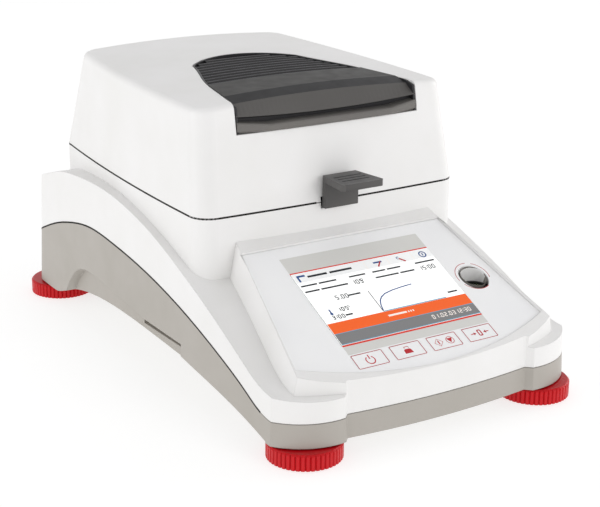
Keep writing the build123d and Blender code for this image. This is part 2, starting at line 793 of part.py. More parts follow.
def lamp_sockets():
    """Ceramic end caps that hang on the crown of the heater housing."""
    y = chamber_y + lamp_ring_r - 0.9
    top = liner_z + liner_thick + heater_height - heater_wall - 1.6
    body = block(-4.6, 4.6, y - 6, y + 6, lamp_z - 6, top)
    return body


def protective_glass():
    glass = post(0, chamber_y, glass_z, glass_z + glass_thick, glass_r)
    return chamfer(glass.edges(), 0.3)


def glass_retainer():
    """Ring below the glass with three tabs that reach round its edge."""
    z0 = liner_z - 0.2
    body = ring(0, chamber_y, z0, glass_z - seat_gap, heater_r - heater_wall - fit_gap, glass_r - 5)
    rim = ring(0, chamber_y, z0, glass_z + glass_thick, heater_r - heater_wall - fit_gap, glass_r + fit_gap)
    return body + rim


def temperature_probe():
    y1 = chamber_y + glass_r - 5.2
    z = liner_z + 1.6
    return rod_y(0, y1 - 22, y1, z, 1.3) + rod_y(0, y1 - 25, y1 - 22, z, 2.0)


def hinge_bracket():
    """Two fixed knuckles with legs screwed to the rear wall of the chamber."""
    parts = []
    for side in (1, -1):
        x = side * hinge_x
        knuckle = rod_x(x - 6, x + 6, hinge_y, hinge_z, hinge_knuckle_r)
        leg = block(x - 6, x + 6, hinge_y - 3, hinge_y + 3, 84, hinge_z)
        foot = block(x - 6, x + 6, hinge_y - 22, hinge_y + 3, 84, 87)
        parts.append(knuckle + leg + foot - rod_x(x - 7, x + 7, hinge_y, hinge_z, hinge_pin_r + 0.01))
    return parts[0] + parts[1]


def lid_hinge_arms():
    """Moving knuckles on two straps that run forward above the liner plate."""
    total = None
    z0 = liner_z + liner_thick + seat_gap
    for side in (1, -1):
        x = side * hinge_x
        strap = block(x - hinge_width / 2, x + hinge_width / 2, hinge_y - 38, hinge_y - 6, z0, z0 + 1.6)
        fork = strap
        for end in (1, -1):
            x0 = x + end * (6 + hinge_gap)
            x1 = x + end * hinge_width / 2
            low, high = min(x0, x1), max(x0, x1)
            fork += rod_x(low, high, hinge_y, hinge_z, hinge_knuckle_r)
            fork += block(low, high, hinge_y - 10, hinge_y, hinge_z - 1.4, hinge_z + 2.4)
        fork -= rod_x(x - 20, x + 20, hinge_y, hinge_z, hinge_pin_r + hinge_pin_clear)
        total = fork if total is None else total + fork
    return total


def hinge_pins():
    return both_sides(lambda side: rod_x(side * hinge_x - hinge_width / 2, side * hinge_x + hinge_width / 2,
                                         hinge_y, hinge_z, hinge_pin_r))


def chamber_liner():
    """Pressed steel well: flange on the deck plate, side slot for the handler arm, hole for the stem."""
    z0, z1 = well_floor_z, deck_plate_z + seat_gap
    r = well_r - fit_gap
    cup = post(0, chamber_y, z0, z1 + liner_sheet, r) - post(0, chamber_y, z0 + liner_sheet, z1 + 5, r - liner_sheet)
    cup += ring(0, chamber_y, z1, z1 + liner_sheet, well_r + 5, r - liner_sheet)
    return cup - post(0, chamber_y, z0 - 2, z0 + 3, stem_r + 2.0)


def draft_shield():
    z0 = well_floor_z + liner_sheet + seat_gap
    body = ring(0, chamber_y, z0, z0 + shield_height, shield_r, shield_r - 0.8)
    return body + ring(0, chamber_y, z0, z0 + 0.8, shield_r, support_r + 4)


def pan_support():
    """Three-armed cross on a stem that stands on the load cell."""
    z1 = pan_floor_z - seat_gap
    arms = [Pos(0, chamber_y, z1 - 1.25) * Rot(0, 0, 90 + 120 * k) * Pos(support_r / 2, 0, 0)
            * Box(support_r, support_arm, 2.5) for k in range(3)]
    ends = [post(support_r * cos(radians(90 + 120 * k)), chamber_y + support_r * sin(radians(90 + 120 * k)),
                 z1 - 2.5, z1, support_arm * 0.8) for k in range(3)]
    hub = post(0, chamber_y, z1 - 5, z1, 6)
    stem = post(0, chamber_y, cell_top_z + cell_gap + 6, z1 - 4, stem_r)
    foot = Pos(0, chamber_y, cell_top_z + cell_gap + 5) * Cylinder(7, 10)
    return hub + arms + ends + [stem, foot]


def sample_pan():
    """Disposable aluminium dish with a rolled rim."""
    z0, z1 = pan_floor_z, deck_plate_z + seat_gap + liner_sheet + seat_gap + handler_thick + seat_gap
    dish = post(0, chamber_y, z0, z1 + pan_wall, pan_r) - post(0, chamber_y, z0 + pan_wall, z1 + 5, pan_r - pan_wall)
    return dish + ring(0, chamber_y, z1, z1 + pan_wall, pan_rim_r, pan_r - pan_wall)


def pan_handler():
    """Ring round the pan, an arm through the front rim and a grooved thumb grip outside."""
    z0 = deck_plate_z + seat_gap + liner_sheet + seat_gap
    z1 = z0 + handler_thick
    body = ring(0, chamber_y, z0, z1, handler_outer_r, handler_inner_r)
    y_out = grip_leg_y + grip_leg_thick
    body += block(-handler_arm_half, handler_arm_half, grip_leg_y, chamber_y - handler_inner_r - 4, z0, z1)
    leg = block(-grip_half, grip_half, grip_leg_y, y_out, z0, grip_top_z)
    tip_y, tip_half = grip_leg_y - grip_reach, grip_half + grip_flare
    outline = Polyline((-grip_half, y_out), (-tip_half, tip_y), (tip_half, tip_y), (grip_half, y_out), close=True)
    plate = extrude(Pos(0, 0, grip_top_z - grip_thick) * make_face(outline), amount=grip_thick)
    corners = [e for e in plate.edges().filter_by(Axis.Z) if e.center().Y < tip_y + 1]
    plate = fillet(corners, grip_corner_r)
    for k in range(grip_grooves):
        y = grip_leg_y - groove_first - k * groove_pitch
        plate -= rod_x(2.0 - grip_half, grip_half - 2.0, y, grip_top_z, groove_r)
    return body + leg + plate


def load_cell():
    """Aluminium bending beam with the usual double bore."""
    z0, z1 = cell_top_z - cell_height, cell_top_z
    y0 = cell_fixed_y1 - cell_length
    beam = block(-cell_width / 2, cell_width / 2, y0, cell_fixed_y1, z0, z1)
    mid = (y0 + cell_fixed_y1) / 2
    zc = (z0 + z1) / 2
    bores = [rod_x(-20, 20, mid + d, zc, 8.6) for d in (-14, 14)]
    return beam - bores - block(-20, 20, mid - 14, mid + 14, zc - 3, zc + 3)


def cell_bracket():
    z1 = cell_top_z - cell_height - seat_gap
    body = block(-18, 18, cell_fixed_y0, cell_fixed_y1, bracket_z, z1)
    return body - [post(0, y, 20, 60, 1.7) for y in (cell_fixed_y0 + 6, cell_fixed_y1 - 6)]


def foot_outline():
    """Fluted edge: two points for each flute."""
    points = []
    for k in range(foot_flutes):
        for part, r in ((0.0, foot_r), (0.55, foot_r), (0.78, foot_r - flute_r)):
            a = 2 * pi * (k + part) / foot_flutes
            points.append((r * cos(a), r * sin(a)))
    return make_face(Polyline(*points, close=True))


def foot_knob():
    z0 = pad_lift
    wheel = extrude(Pos(0, 0, z0) * foot_outline(), amount=foot_height - z0)
    cone = Pos(0, 0, foot_height - 40) * Cone(foot_r + 39.0, foot_r - 1.0, 40, align=(Align.CENTER, Align.CENTER, Align.MIN))
    wheel = wheel & cone
    wheel -= post(0, 0, -1, pad_height + fit_gap, pad_r + fit_gap)
    stud = post(0, 0, foot_height - 2, stud_top_z, stud_r)
    stud = chamfer(stud.edges().sort_by(Axis.Z)[-1], 0.8)
    return wheel + stud


def foot_pad():
    pad = post(0, 0, 0, pad_height, pad_r)
    return chamfer(pad.edges().sort_by(Axis.Z)[0], 0.5)


def bushes():
    r_in = stud_r + thread_clear
    total = None
    for x, y in mirrored([(foot_x, foot_y), (foot_x, -foot_y)]):
        one = ring(x, y, skirt_z + 0.1, skirt_z + bush_height - 0.1, bush_r, r_in)
        total = one if total is None else total + one
    return total


def rear_plate():
    y0, y1 = rear_y - 5.0, rear_y - 5.0 + rear_plate_thick
    plate = block(panel_x0, panel_x1, y0, y1, panel_z0, panel_z1)
    cuts = [block(inlet_x - 14.3, inlet_x + 14.3, y0 - 5, y1 + 5, inlet_z - 15.3, inlet_z + 11.3)]
    cuts += [rod_y(fan_x, y0 - 5, y1 + 5, fan_z, 3.0)]
    for k in range(8):
        a = 2 * pi * k / 8
        cuts.append(Pos(fan_x, y0, fan_z) * Rot(0, degrees(a), 0) * Pos(10.0, 0, 0) * Box(9, 20, 3.0))
    for x0, x1, z0, z1 in port_places.values():
        cuts.append(block(x0 - 0.3, x1 + 0.3, y0 - 5, y1 + 5, z0 - 0.3, z1 + 0.3))
    return plate - cuts


def port_shell(name, depth):
    x0, x1, z0, z1 = port_places[name]
    y1 = rear_y - 5.0 + rear_plate_thick + 0.8
    return block(x0, x1, y1 - depth, y1, z0, z1), x0, x1, z0, z1, y1


def usb_host():
    body, x0, x1, z0, z1, y1 = port_shell("usb_host", 16)
    body -= block(x0 + 0.6, x1 - 0.6, y1 - 12, y1 + 1, z0 + 0.6, z1 - 0.6)
    return body + block(x0 + 1.4, x1 - 1.4, y1 - 12.5, y1 - 2, (z0 + z1) / 2 + 0.2, z1 - 1.4)


def usb_device():
    body, x0, x1, z0, z1, y1 = port_shell("usb_device", 16)
    body -= block(x0 + 0.8, x1 - 0.8, y1 - 10, y1 + 1, z0 + 0.8, z1 - 0.8)
    return body + block((x0 + x1) / 2 - 2.6, (x0 + x1) / 2 + 2.6, y1 - 10.5, y1 - 2, z0 + 3.4, z1 - 3.4)


def serial_port():
    """Nine-pin D-shaped connector with two jack posts."""
    body, x0, x1, z0, z1, y1 = port_shell("serial_port", 14)
    xc, zc = (x0 + x1) / 2, (z0 + z1) / 2
    shape = Polyline((-8.4, 4.0), (8.4, 4.0), (7.2, -4.0), (-7.2, -4.0), close=True)
    plane = Plane(origin=(xc, y1, zc), x_dir=(1, 0, 0), z_dir=(0, -1, 0))
    shell = extrude(plane * make_face(shape), amount=-5)
    hollow = extrude(plane * (Pos(0, 0) * scale(make_face(shape), by=0.9)), amount=-6)
    jacks = [rod_y(xc + s * 12.5, y1 - 1, y1 + 4, zc, 2.3) for s in (1, -1)]
    return body + shell + jacks - hollow


def power_inlet():
    """Three-pin appliance inlet with its drawer bay below."""
    y1 = rear_y - 5.0 + rear_plate_thick
    flange = block(inlet_x - 17, inlet_x + 17, y1 + seat_gap, y1 + 2, inlet_z - 17.5, inlet_z + 13.5)
    body = block(inlet_x - 14, inlet_x + 14, y1 - 22, y1 + 1, inlet_z - 15, inlet_z + 11)
    inlet = flange + body
    socket = block(inlet_x - 12.2, inlet_x + 12.2, y1 - 16, y1 + 4, inlet_z - 4.5, inlet_z + 9.5)
    bay = block(inlet_x - drawer_half - 0.3, inlet_x + drawer_half + 0.3, y1 - 20, y1 + 4, drawer_z0 - 0.3,
                drawer_z1 + 0.3)
    return inlet - [socket, bay]


def inlet_pins():
    y1 = rear_y - 5.0 + rear_plate_thick
    pins = [block(inlet_x + dx - 1.0, inlet_x + dx + 1.0, y1 - 16 + 0.02, y1 - 2, inlet_z + dz - 2.0, inlet_z + dz + 2.0)
            for dx, dz in ((-7, 1.0), (7, 1.0), (0, 5.0))]
    return pins[0] + pins[1:]


def fuse_drawer():
    y1 = rear_y - 5.0 + rear_plate_thick
    tray = block(inlet_x - drawer_half, inlet_x + drawer_half, y1 - 19, y1 + 2.4, drawer_z0, drawer_z1)
    bays = [block(inlet_x - drawer_half + 1.2, inlet_x + drawer_half - 1.2, y1 - 18, y1 - 1, drawer_z0 + 1.2,
                  drawer_z1 + 1)]
    grip = block(inlet_x - 5, inlet_x + 5, y1 + 1.2, y1 + 3, drawer_z0 + 2.0, drawer_z0 + 3.4)
    return tray - bays - grip


def fuses():
    y1 = rear_y - 5.0 + rear_plate_thick
    z = drawer_z0 + 1.2 + 1.95
    total = None
    for row in (0, 1):
        y = y1 - 14.5 + row * 8.0
        glass = rod_x(inlet_x - 6, inlet_x + 6, y, z, 1.7)
        caps = [rod_x(inlet_x - 8, inlet_x - 4.6, y, z, 1.9), rod_x(inlet_x + 4.6, inlet_x + 8, y, z, 1.9)]
        total = glass + caps if total is None else total + (glass + caps)
    return total


def fan_frame():
    y1 = rear_y - 5.0 - seat_gap
    y0 = y1 - fan_depth
    half = fan_size / 2
    body = block(fan_x - half, fan_x + half, y0, y1, fan_z - half, fan_z + half)
    body -= rod_y(fan_x, y0 - 1, y1 + 1, fan_z, half - 1.4)
    hub = rod_y(fan_x, y0, y0 + 1.4, fan_z, fan_hub_r - 1)
    arms = [Pos(fan_x, y0 + 0.7, fan_z) * Rot(0, 45 + 90 * k, 0) * Pos(half - 4, 0, 0) * Box(2 * half - 15, 1.4, 2.2)
            for k in range(4)]
    pin = rod_y(fan_x, y0, y0 + 7.0, fan_z, fan_bore - fan_pin_clear)
    return body + (hub + arms & block(fan_x - half, fan_x + half, y0, y1, fan_z - half, fan_z + half)) + pin


def fan_rotor():
    y0 = rear_y - 5.0 - seat_gap - fan_depth
    hub = rod_y(fan_x, y0 + 1.9, y0 + fan_depth - 1.2, fan_z, fan_hub_r)
    blades = [Pos(fan_x, y0 + fan_depth / 2 + 0.4, fan_z) * Rot(0, 360 * k / fan_blades, 0)
              * Pos((fan_hub_r - 1 + blade_tip_r) / 2, 0, 0) * Rot(38, 0, 0)
              * Box(blade_tip_r - fan_hub_r + 1, 1.0, 7.0)
              for k in range(fan_blades)]
    rotor = hub + blades
    return rotor - rod_y(fan_x, y0, y0 + 7.6, fan_z, fan_bore)


def lid_screws():
    z = liner_z - seat_gap
    parts = [screw(x, y, z, 14, head_up=False) for x, y in lid_screw_places]
    return parts[0] + parts[1:]


def housing_screws():
    parts = [screw(x, y, screw_seat_z(y) - seat_gap, 16 if abs(y) > 100 else 34, head_up=False)
             for x, y in mirrored(housing_bosses)]
    return parts[0] + parts[1:]


def board_screws():
    parts = [screw(x, y, main_board_z + board_thick + seat_gap, 6) for x, y in board_posts]
    parts += [screw(x, y, supply_board_z + board_thick + seat_gap, 6) for x, y in supply_posts]
    return parts[0] + parts[1:]


def lid_magnet():
    x, y = magnet_at
    return post(x, y, liner_z + seat_gap, liner_z + liner_thick + 2, magnet_r)


def lid_sensor():
    x, y = magnet_at
    top = deck_plate_z - wall - seat_gap
    return block(x - 4, x + 4, y - 6, y + 6, top - 4, top)


single_nodes = {
    "upper_housing": upper_housing,
    "lower_housing": lower_housing,
    "overlay_panel": overlay_panel,
    "touch_glass": touch_glass,
    "display_module": display_module,
    "keypad_board": keypad_board,
    "level_vial": level_vial,
    "level_bubble": level_bubble,
    "level_cup": level_cup,
    "lid_shell": lid_shell,
    "lid_insert": lid_insert,
    "lid_liner": lid_liner,
    "heater_housing": heater_housing,
    "reflector": reflector,
    "halogen_lamp": halogen_lamp,
    "lamp_sockets": lamp_sockets,
    "protective_glass": protective_glass,
    "glass_retainer": glass_retainer,
    "temperature_probe": temperature_probe,
    "hinge_bracket": hinge_bracket,
    "lid_hinge_arms": lid_hinge_arms,
    "hinge_pins": hinge_pins,
    "lid_screws": lid_screws,
    "lid_magnet": lid_magnet,
    "lid_sensor": lid_sensor,
    "chamber_liner": chamber_liner,
    "draft_shield": draft_shield,
    "pan_support": pan_support,
    "sample_pan": sample_pan,
    "pan_handler": pan_handler,
    "load_cell": load_cell,
    "cell_bracket": cell_bracket,
    "main_board": main_board,
    "supply_board": supply_board,
    "transformer": transformer,
    "board_screws": board_screws,
    "housing_screws": housing_screws,
    "foot_bushes": bushes,
    "rear_plate": rear_plate,
    "power_inlet": power_inlet,
    "inlet_pins": inlet_pins,
    "fuse_drawer": fuse_drawer,
    "fuses": fuses,
    "usb_host": usb_host,
    "usb_device": usb_device,
    "serial_port": serial_port,
    "fan_frame": fan_frame,
    "fan_rotor": fan_rotor,
}
key_names = ("key_power", "key_print", "key_start", "key_tare")
foot_names = {"fl": (-1, -1), "fr": (1, -1), "rl": (-1, 1), "rr": (1, 1)}


def main():
    for name, make in single_nodes.items():
        export_step(make(), f"parts/{name}.step")
    for index, name in enumerate(key_names):
        export_step(key_cap(index), f"parts/{name}.step")
    knob, pad = foot_knob(), foot_pad()
    for name, (sx, sy) in foot_names.items():
        export_step(Pos(sx * foot_x, sy * foot_y, 0) * knob, f"parts/foot_knob_{name}.step")
        export_step(Pos(sx * foot_x, sy * foot_y, 0) * pad, f"parts/foot_pad_{name}.step")


main()
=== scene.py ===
import json
import math

import bpy
import bmesh
from mathutils import Matrix, Vector
from mathutils.bvhtree import BVHTree


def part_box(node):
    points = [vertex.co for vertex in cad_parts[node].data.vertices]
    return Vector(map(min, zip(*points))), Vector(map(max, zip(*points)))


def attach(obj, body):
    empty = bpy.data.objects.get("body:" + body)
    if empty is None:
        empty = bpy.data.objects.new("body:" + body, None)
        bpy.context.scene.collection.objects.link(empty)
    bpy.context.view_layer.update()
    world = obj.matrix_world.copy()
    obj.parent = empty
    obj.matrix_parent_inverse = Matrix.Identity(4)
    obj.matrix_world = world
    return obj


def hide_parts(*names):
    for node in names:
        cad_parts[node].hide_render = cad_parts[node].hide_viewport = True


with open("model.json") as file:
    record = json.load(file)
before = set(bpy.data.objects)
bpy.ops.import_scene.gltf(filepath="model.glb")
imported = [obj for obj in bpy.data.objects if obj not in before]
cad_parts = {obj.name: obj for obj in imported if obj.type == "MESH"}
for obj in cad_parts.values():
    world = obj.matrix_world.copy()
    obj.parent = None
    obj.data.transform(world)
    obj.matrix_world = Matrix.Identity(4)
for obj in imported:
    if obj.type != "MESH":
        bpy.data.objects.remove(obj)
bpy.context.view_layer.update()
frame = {"nodes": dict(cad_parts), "record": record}
mm = 0.001
print("frame loaded:", len(frame["nodes"]), "nodes")


# Colours and shader nodes

def hexColor(code):
    # an sRGB hex value as linear colour
    parts = [int(code[i:i + 2], 16) / 255 for i in (1, 3, 5)]
    linear = [c / 12.92 if c <= 0.04045 else ((c + 0.055) / 1.055) ** 2.4 for c in parts]
    return (*linear, 1.0)


def addNode(tree, kind, settings=None, links=None):
    # settings: attributes by name, or input values by socket name; links: input name to an output socket
    node = tree.nodes.new(kind)
    for name, value in (settings or {}).items():
        if name in node.inputs:
            node.inputs[name].default_value = value
        else:
            setattr(node, name, value)
    for name, source in (links or {}).items():
        tree.links.new(source, node.inputs[name])
    return node


def startMaterial(name):
    material = bpy.data.materials.new(name)
    material.use_nodes = True
    tree = material.node_tree
    shader = tree.nodes["Principled BSDF"]
    place = addNode(tree, "ShaderNodeTexCoord").outputs["Object"]
    return material, tree, shader, place


def patternAt(tree, place, sizeMm, detail=2.0, stretch=(1, 1, 1)):
    # noise whose lumps are about sizeMm across on the real piece
    mapped = addNode(tree, "ShaderNodeMapping", {"Scale": stretch}, {"Vector": place})
    return addNode(tree, "ShaderNodeTexNoise", {"Scale": 1 / (sizeMm * mm), "Detail": detail},
                   {"Vector": mapped.outputs["Vector"]})


def spread(tree, source, low, high):
    # noise keeps near its middle, so this stretch of it covers low to high
    settings = {"From Min": 0.3, "From Max": 0.7, "To Min": low, "To Max": high}
    return addNode(tree, "ShaderNodeMapRange", settings, {"Value": source}).outputs["Result"]


# What the finishes share: lumps in mm, swings of roughness, and where an edge counts as worn
shared = {
    "toneLump": 38, "glossLump": 9, "smearLump": 14, "inkLump": 22,
    "glossBelow": 0.04, "glossAbove": 0.05, "metalBelow": 0.06, "metalAbove": 0.08,
    "smear": 0.03, "inkSwing": 0.02,
    "wearFrom": 0.53, "wearTo": 0.60, "wearMost": 0.5, "metalEdge": 0.25, "edgeSamples": 4,
}


def roundedEdges(tree, edgeMm):
    settings = {"samples": shared["edgeSamples"], "Radius": edgeMm * mm}
    return addNode(tree, "ShaderNodeBevel", settings).outputs["Normal"]


def moulded(name, base, shade, roughness, grainMm, grainDepth, edgeMm,
            ior=1.53, coat=0.0, wear=None, shine=0.5):
    # injection-moulded plastic: a fine tool grain, uneven gloss and softly broken edges;
    # the real grain is near 0.1 mm and is drawn coarser, so that it shows
    s = shared
    material, tree, shader, place = startMaterial(name)
    cloud = patternAt(tree, place, s["toneLump"], 3)
    share = spread(tree, cloud.outputs["Fac"], 0, 1)
    tone = addNode(tree, "ShaderNodeMix", {"data_type": "RGBA"}, {"Factor": share})
    tone.inputs["A"].default_value = hexColor(base)
    tone.inputs["B"].default_value = hexColor(shade)
    tree.links.new(tone.outputs["Result"], shader.inputs["Base Color"])
    if wear:
        edge = addNode(tree, "ShaderNodeNewGeometry").outputs["Pointiness"]
        limits = {"From Min": s["wearFrom"], "From Max": s["wearTo"], "To Min": 0.0, "To Max": s["wearMost"]}
        lift = addNode(tree, "ShaderNodeMapRange", limits, {"Value": edge})
        worn = addNode(tree, "ShaderNodeMix", {"data_type": "RGBA"}, {"Factor": lift.outputs["Result"]})
        tree.links.new(tone.outputs["Result"], worn.inputs["A"])
        worn.inputs["B"].default_value = hexColor(wear)
        tree.links.new(worn.outputs["Result"], shader.inputs["Base Color"])
    gloss = patternAt(tree, place, s["glossLump"], 2)
    swing = spread(tree, gloss.outputs["Fac"], roughness - s["glossBelow"], roughness + s["glossAbove"])
    tree.links.new(swing, shader.inputs["Roughness"])
    grain = patternAt(tree, place, grainMm, 1)
    bump = addNode(tree, "ShaderNodeBump", {"Strength": 1.0, "Distance": grainDepth * mm},
                   {"Height": grain.outputs["Fac"], "Normal": roundedEdges(tree, edgeMm)})
    tree.links.new(bump.outputs["Normal"], shader.inputs["Normal"])
    shader.inputs["IOR"].default_value = ior
    shader.inputs["Coat Weight"].default_value = coat
    shader.inputs["Specular IOR Level"].default_value = shine
    return material


def metal(name, base, roughness, brush=(1, 1, 1), brushMm=1.2, depth=0.01):
    # sheet or turned metal: fine marks along one direction, drawn coarser than real ones so that they show
    s = shared
    material, tree, shader, place = startMaterial(name)
    shader.inputs["Metallic"].default_value = 1.0
    shader.inputs["Base Color"].default_value = hexColor(base)
    lines = patternAt(tree, place, brushMm, 3, brush)
    swing = spread(tree, lines.outputs["Fac"], roughness - s["metalBelow"], roughness + s["metalAbove"])
    tree.links.new(swing, shader.inputs["Roughness"])
    bump = addNode(tree, "ShaderNodeBump", {"Distance": depth * mm},
                   {"Height": lines.outputs["Fac"], "Normal": roundedEdges(tree, s["metalEdge"])})
    tree.links.new(bump.outputs["Normal"], shader.inputs["Normal"])
    return material


def clearGlass(name, tint, roughness=0.02, ior=1.5):
    # polished glass with the faint smears of wiping
    material, tree, shader, place = startMaterial(name)
    shader.inputs["Base Color"].default_value = hexColor(tint)
    shader.inputs["Transmission Weight"].default_value = 1.0
    shader.inputs["IOR"].default_value = ior
    smear = patternAt(tree, place, shared["smearLump"], 2)
    swing = spread(tree, smear.outputs["Fac"], roughness, roughness + shared["smear"])
    tree.links.new(swing, shader.inputs["Roughness"])
    return material


def printInk(name, base, roughness, glow=0.0):
    # silk-screened ink, or a lit patch of the display when it glows
    material, tree, shader, place = startMaterial(name)
    shader.inputs["Base Color"].default_value = hexColor(base)
    grain = patternAt(tree, place, shared["inkLump"], 1)
    swing = shared["inkSwing"]
    uneven = spread(tree, grain.outputs["Fac"], roughness - swing, roughness + swing)
    tree.links.new(uneven, shader.inputs["Roughness"])
    if glow:
        shader.inputs["Emission Color"].default_value = hexColor(base)
        shader.inputs["Emission Strength"].default_value = glow
    return material


# Plastics: name, two tones, roughness, then grain width, grain depth and edge radius in mm
finishes = {
    # white ABS from a spark-eroded tool: matt, with broad soft highlights
    "whiteAbs": moulded("whiteAbs", "#EFEEED", "#EBEAE8", 0.42, 0.9, 0.012, 0.6),
    # warm light-grey ABS of the tray, as matt as the white
    "greyAbs": moulded("greyAbs", "#B2ADA6", "#ACA79F", 0.44, 0.9, 0.014, 0.6, shine=0.35),
    # printed polyester film: nearly flat, a little silkier than the shell
    "overlayFilm": moulded("overlayFilm", "#FAFAFA", "#F6F6F7", 0.38, 1.1, 0.004, 0.3),
    # charcoal glass-filled polyamide of the pan holder and its grip: satin, paler along its edges
    "charcoalNylon": moulded("charcoalNylon", "#454444", "#3F3E3E", 0.42, 0.8, 0.016, 0.5,
                             wear="#6A6866", shine=0.28),
    # the same polyamide on the visor's face: matt, and painted greyer, a painted sheen of the light on this
    # facet
    "litFacetNylon": moulded("litFacetNylon", "#5B5957", "#565452", 0.5, 0.8, 0.02, 0.6, shine=0.25),
    # matt like it, and painted darker: painted shade on the top, which faces up
    "shadedTopNylon": moulded("shadedTopNylon", "#3A3937", "#363533", 0.5, 0.8, 0.02, 0.6, shine=0.25),
    # left smooth: darker, with a cool cast
    "smoothNylon": moulded("smoothNylon", "#2E2D2F", "#2A292B", 0.38, 1.2, 0.006, 0.4, shine=0.3),
    # the band over the visor, smooth, and painted nearly black: painted shade on this facet
    "shadedBandNylon": moulded("shadedBandNylon", "#1D1C1E", "#1A191B", 0.4, 1.2, 0.006, 0.4, shine=0.3),
    # the finger lip, painted greyer: a painted highlight of the light on its top face
    "litLipNylon": moulded("litLipNylon", "#706D69", "#6A6764", 0.44, 0.8, 0.02, 0.6, shine=0.35),
    # dark strip in the joints of the casing, dull: painted shade, standing for the shade inside the gaps
    "paintedJointShade": moulded("paintedJointShade", "#2A2725", "#242220", 0.7, 0.7, 0.01, 0.1, ior=1.52, shine=0.2),
    # glossy red ABS of the levelling knobs, brighter along the worn knurls
    "redAbs": moulded("redAbs", "#BE0612", "#B20510", 0.30, 1.4, 0.008, 0.35, wear="#D8242A", shine=0.2),
    # grey ABS sleeve round the sight of the spirit level, smooth inside: painted shade, standing for the
    # shade down in the level's hole
    "shadeAbs": moulded("shadeAbs", "#8A8681", "#858079", 0.34, 1.2, 0.006, 0.3),
    # black ABS of sockets and frames: matt, with crisp edges
    "blackAbs": moulded("blackAbs", "#1B1B1C", "#161617", 0.42, 0.9, 0.012, 0.3),
    # moulded rubber of the pads: no shine at all
    "footRubber": moulded("footRubber", "#1E1D1C", "#181716", 0.75, 0.7, 0.02, 0.3, ior=1.52),
    # pressed and fired steatite: cream white and dry
    "steatite": moulded("steatite", "#E6E1D3", "#DCD6C6", 0.6, 0.8, 0.02, 0.2),
    # green solder mask over glass laminate: a thin glossy coat
    "boardLaminate": moulded("boardLaminate", "#1F5A37", "#194D2F", 0.32, 1.6, 0.01, 0.1, coat=0.3),
    # dark powder coat on sheet steel: a fine orange peel
    "powderCoat": moulded("powderCoat", "#3B3C3E", "#353638", 0.5, 0.7, 0.03, 0.3),
    # stainless sheet brushed from side to side: long soft streaks
    "brushedSteel": metal("brushedSteel", "#B9B8B5", 0.34, brush=(0.04, 1, 1), brushMm=0.5),
    # deep-drawn and polished: clear reflections
    "polishedSteel": metal("polishedSteel", "#D2D1CE", 0.14, brushMm=3, depth=0.004),
    # zinc-plated screws: slightly cloudy
    "zincScrew": metal("zincScrew", "#A9A9A6", 0.3, brushMm=0.6),
    # rolled aluminium sheet, bright, with the mill's lines from front to back
    "rolledFoil": metal("rolledFoil", "#D6D7D8", 0.25, brush=(1, 0.08, 1), brushMm=0.8, depth=0.02),
    # milled aluminium alloy, satin, with cutter lines from front to back
    "milledAlloy": metal("milledAlloy", "#BFC0C2", 0.3, brush=(1, 0.1, 1), brushMm=0.5, depth=0.015),
    # brass turned on a lathe: bright, its fine lines drawn upright
    "turnedBrass": metal("turnedBrass", "#C8A254", 0.22, brush=(1, 1, 0.06), brushMm=0.5),
    "quartzGlass": clearGlass("quartzGlass", "#F2F5F4"),       # fused quartz: clear, faintly grey
    "coverGlass": clearGlass("coverGlass", "#F4F7F8"),         # toughened sheet glass: clear, faintly blue
    "vialGlass": clearGlass("vialGlass", "#DCEFB4", 0.03),     # glass with yellow-green level fluid
}
print("finishes ready:", len(finishes))

bySlot = {
    "white_plastic": "whiteAbs", "grey_plastic": "greyAbs", "overlay": "overlayFilm",
    "dark_plastic": "charcoalNylon", "red_plastic": "redAbs", "screen_glass": "coverGlass",
    "heat_glass": "quartzGlass", "vial": "vialGlass", "display_body": "blackAbs", "board": "boardLaminate",
    "black_part": "blackAbs", "ceramic": "steatite", "sheet_steel": "brushedSteel",
    "bright_steel": "polishedSteel", "screws": "zincScrew", "aluminium": "rolledFoil",
    "alloy": "milledAlloy", "brass": "turnedBrass", "rubber": "footRubber", "painted_steel": "powderCoat",
}
slotOf = {part["node"]: part["material_slot"] for part in frame["record"]["subparts"]}
for nodeName, node in frame["nodes"].items():
    node.data.materials.clear()
    node.data.materials.append(finishes[bySlot[slotOf[nodeName]]])


# Pieces that the frame doesn't have

def meshPiece(name, vertices, faces, material, body):
    mesh = bpy.data.meshes.new(name)
    mesh.from_pydata([tuple(v) for v in vertices], [], faces)
    mesh.update()
    piece = bpy.data.objects.new(name, mesh)
    bpy.context.scene.collection.objects.link(piece)
    mesh.materials.append(finishes[material] if isinstance(material, str) else material)
    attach(piece, body)
    return piece


def stripPiece(name, rows, material, body):
    # a band from rows of points in mm, one quad between each pair of neighbours
    across = len(rows[0])
    vertices = [point * mm for row in rows for point in row]
    faces = []
    for i in range(len(rows) - 1):
        low, high = i * across, (i + 1) * across
        faces += [[low + k, high + k, high + k + 1, low + k + 1] for k in range(across - 1)]
    return meshPiece(name, vertices, faces, material, body)


def closeShell(piece):
    # joins the seams, closes open ends and turns every face outwards
    work = bmesh.new()
    work.from_mesh(piece.data)
    bmesh.ops.remove_doubles(work, verts=work.verts, dist=1e-6)
    bmesh.ops.holes_fill(work, edges=[edge for edge in work.edges if edge.is_boundary])
    bmesh.ops.recalc_face_normals(work, faces=work.faces)
    work.to_mesh(piece.data)
    work.free()


class Surface:
    # finds places on a node of the frame with rays, in mm

    def __init__(self, nodeName):
        mesh = frame["nodes"][nodeName].data
        vertices = [v.co.copy() for v in mesh.vertices]
        self.tree = BVHTree.FromPolygons(vertices, [list(face.vertices) for face in mesh.polygons])

    def cast(self, start, toward):
        # the place and the outward direction there; two times None where the ray meets nothing
        place, normal = self.tree.ray_cast(Vector(start) * mm, Vector(toward))[:2]
        return (place / mm, normal) if place else (None, None)

    def hit(self, start, toward):
        return self.cast(start, toward)[0]


# Geometry nodes

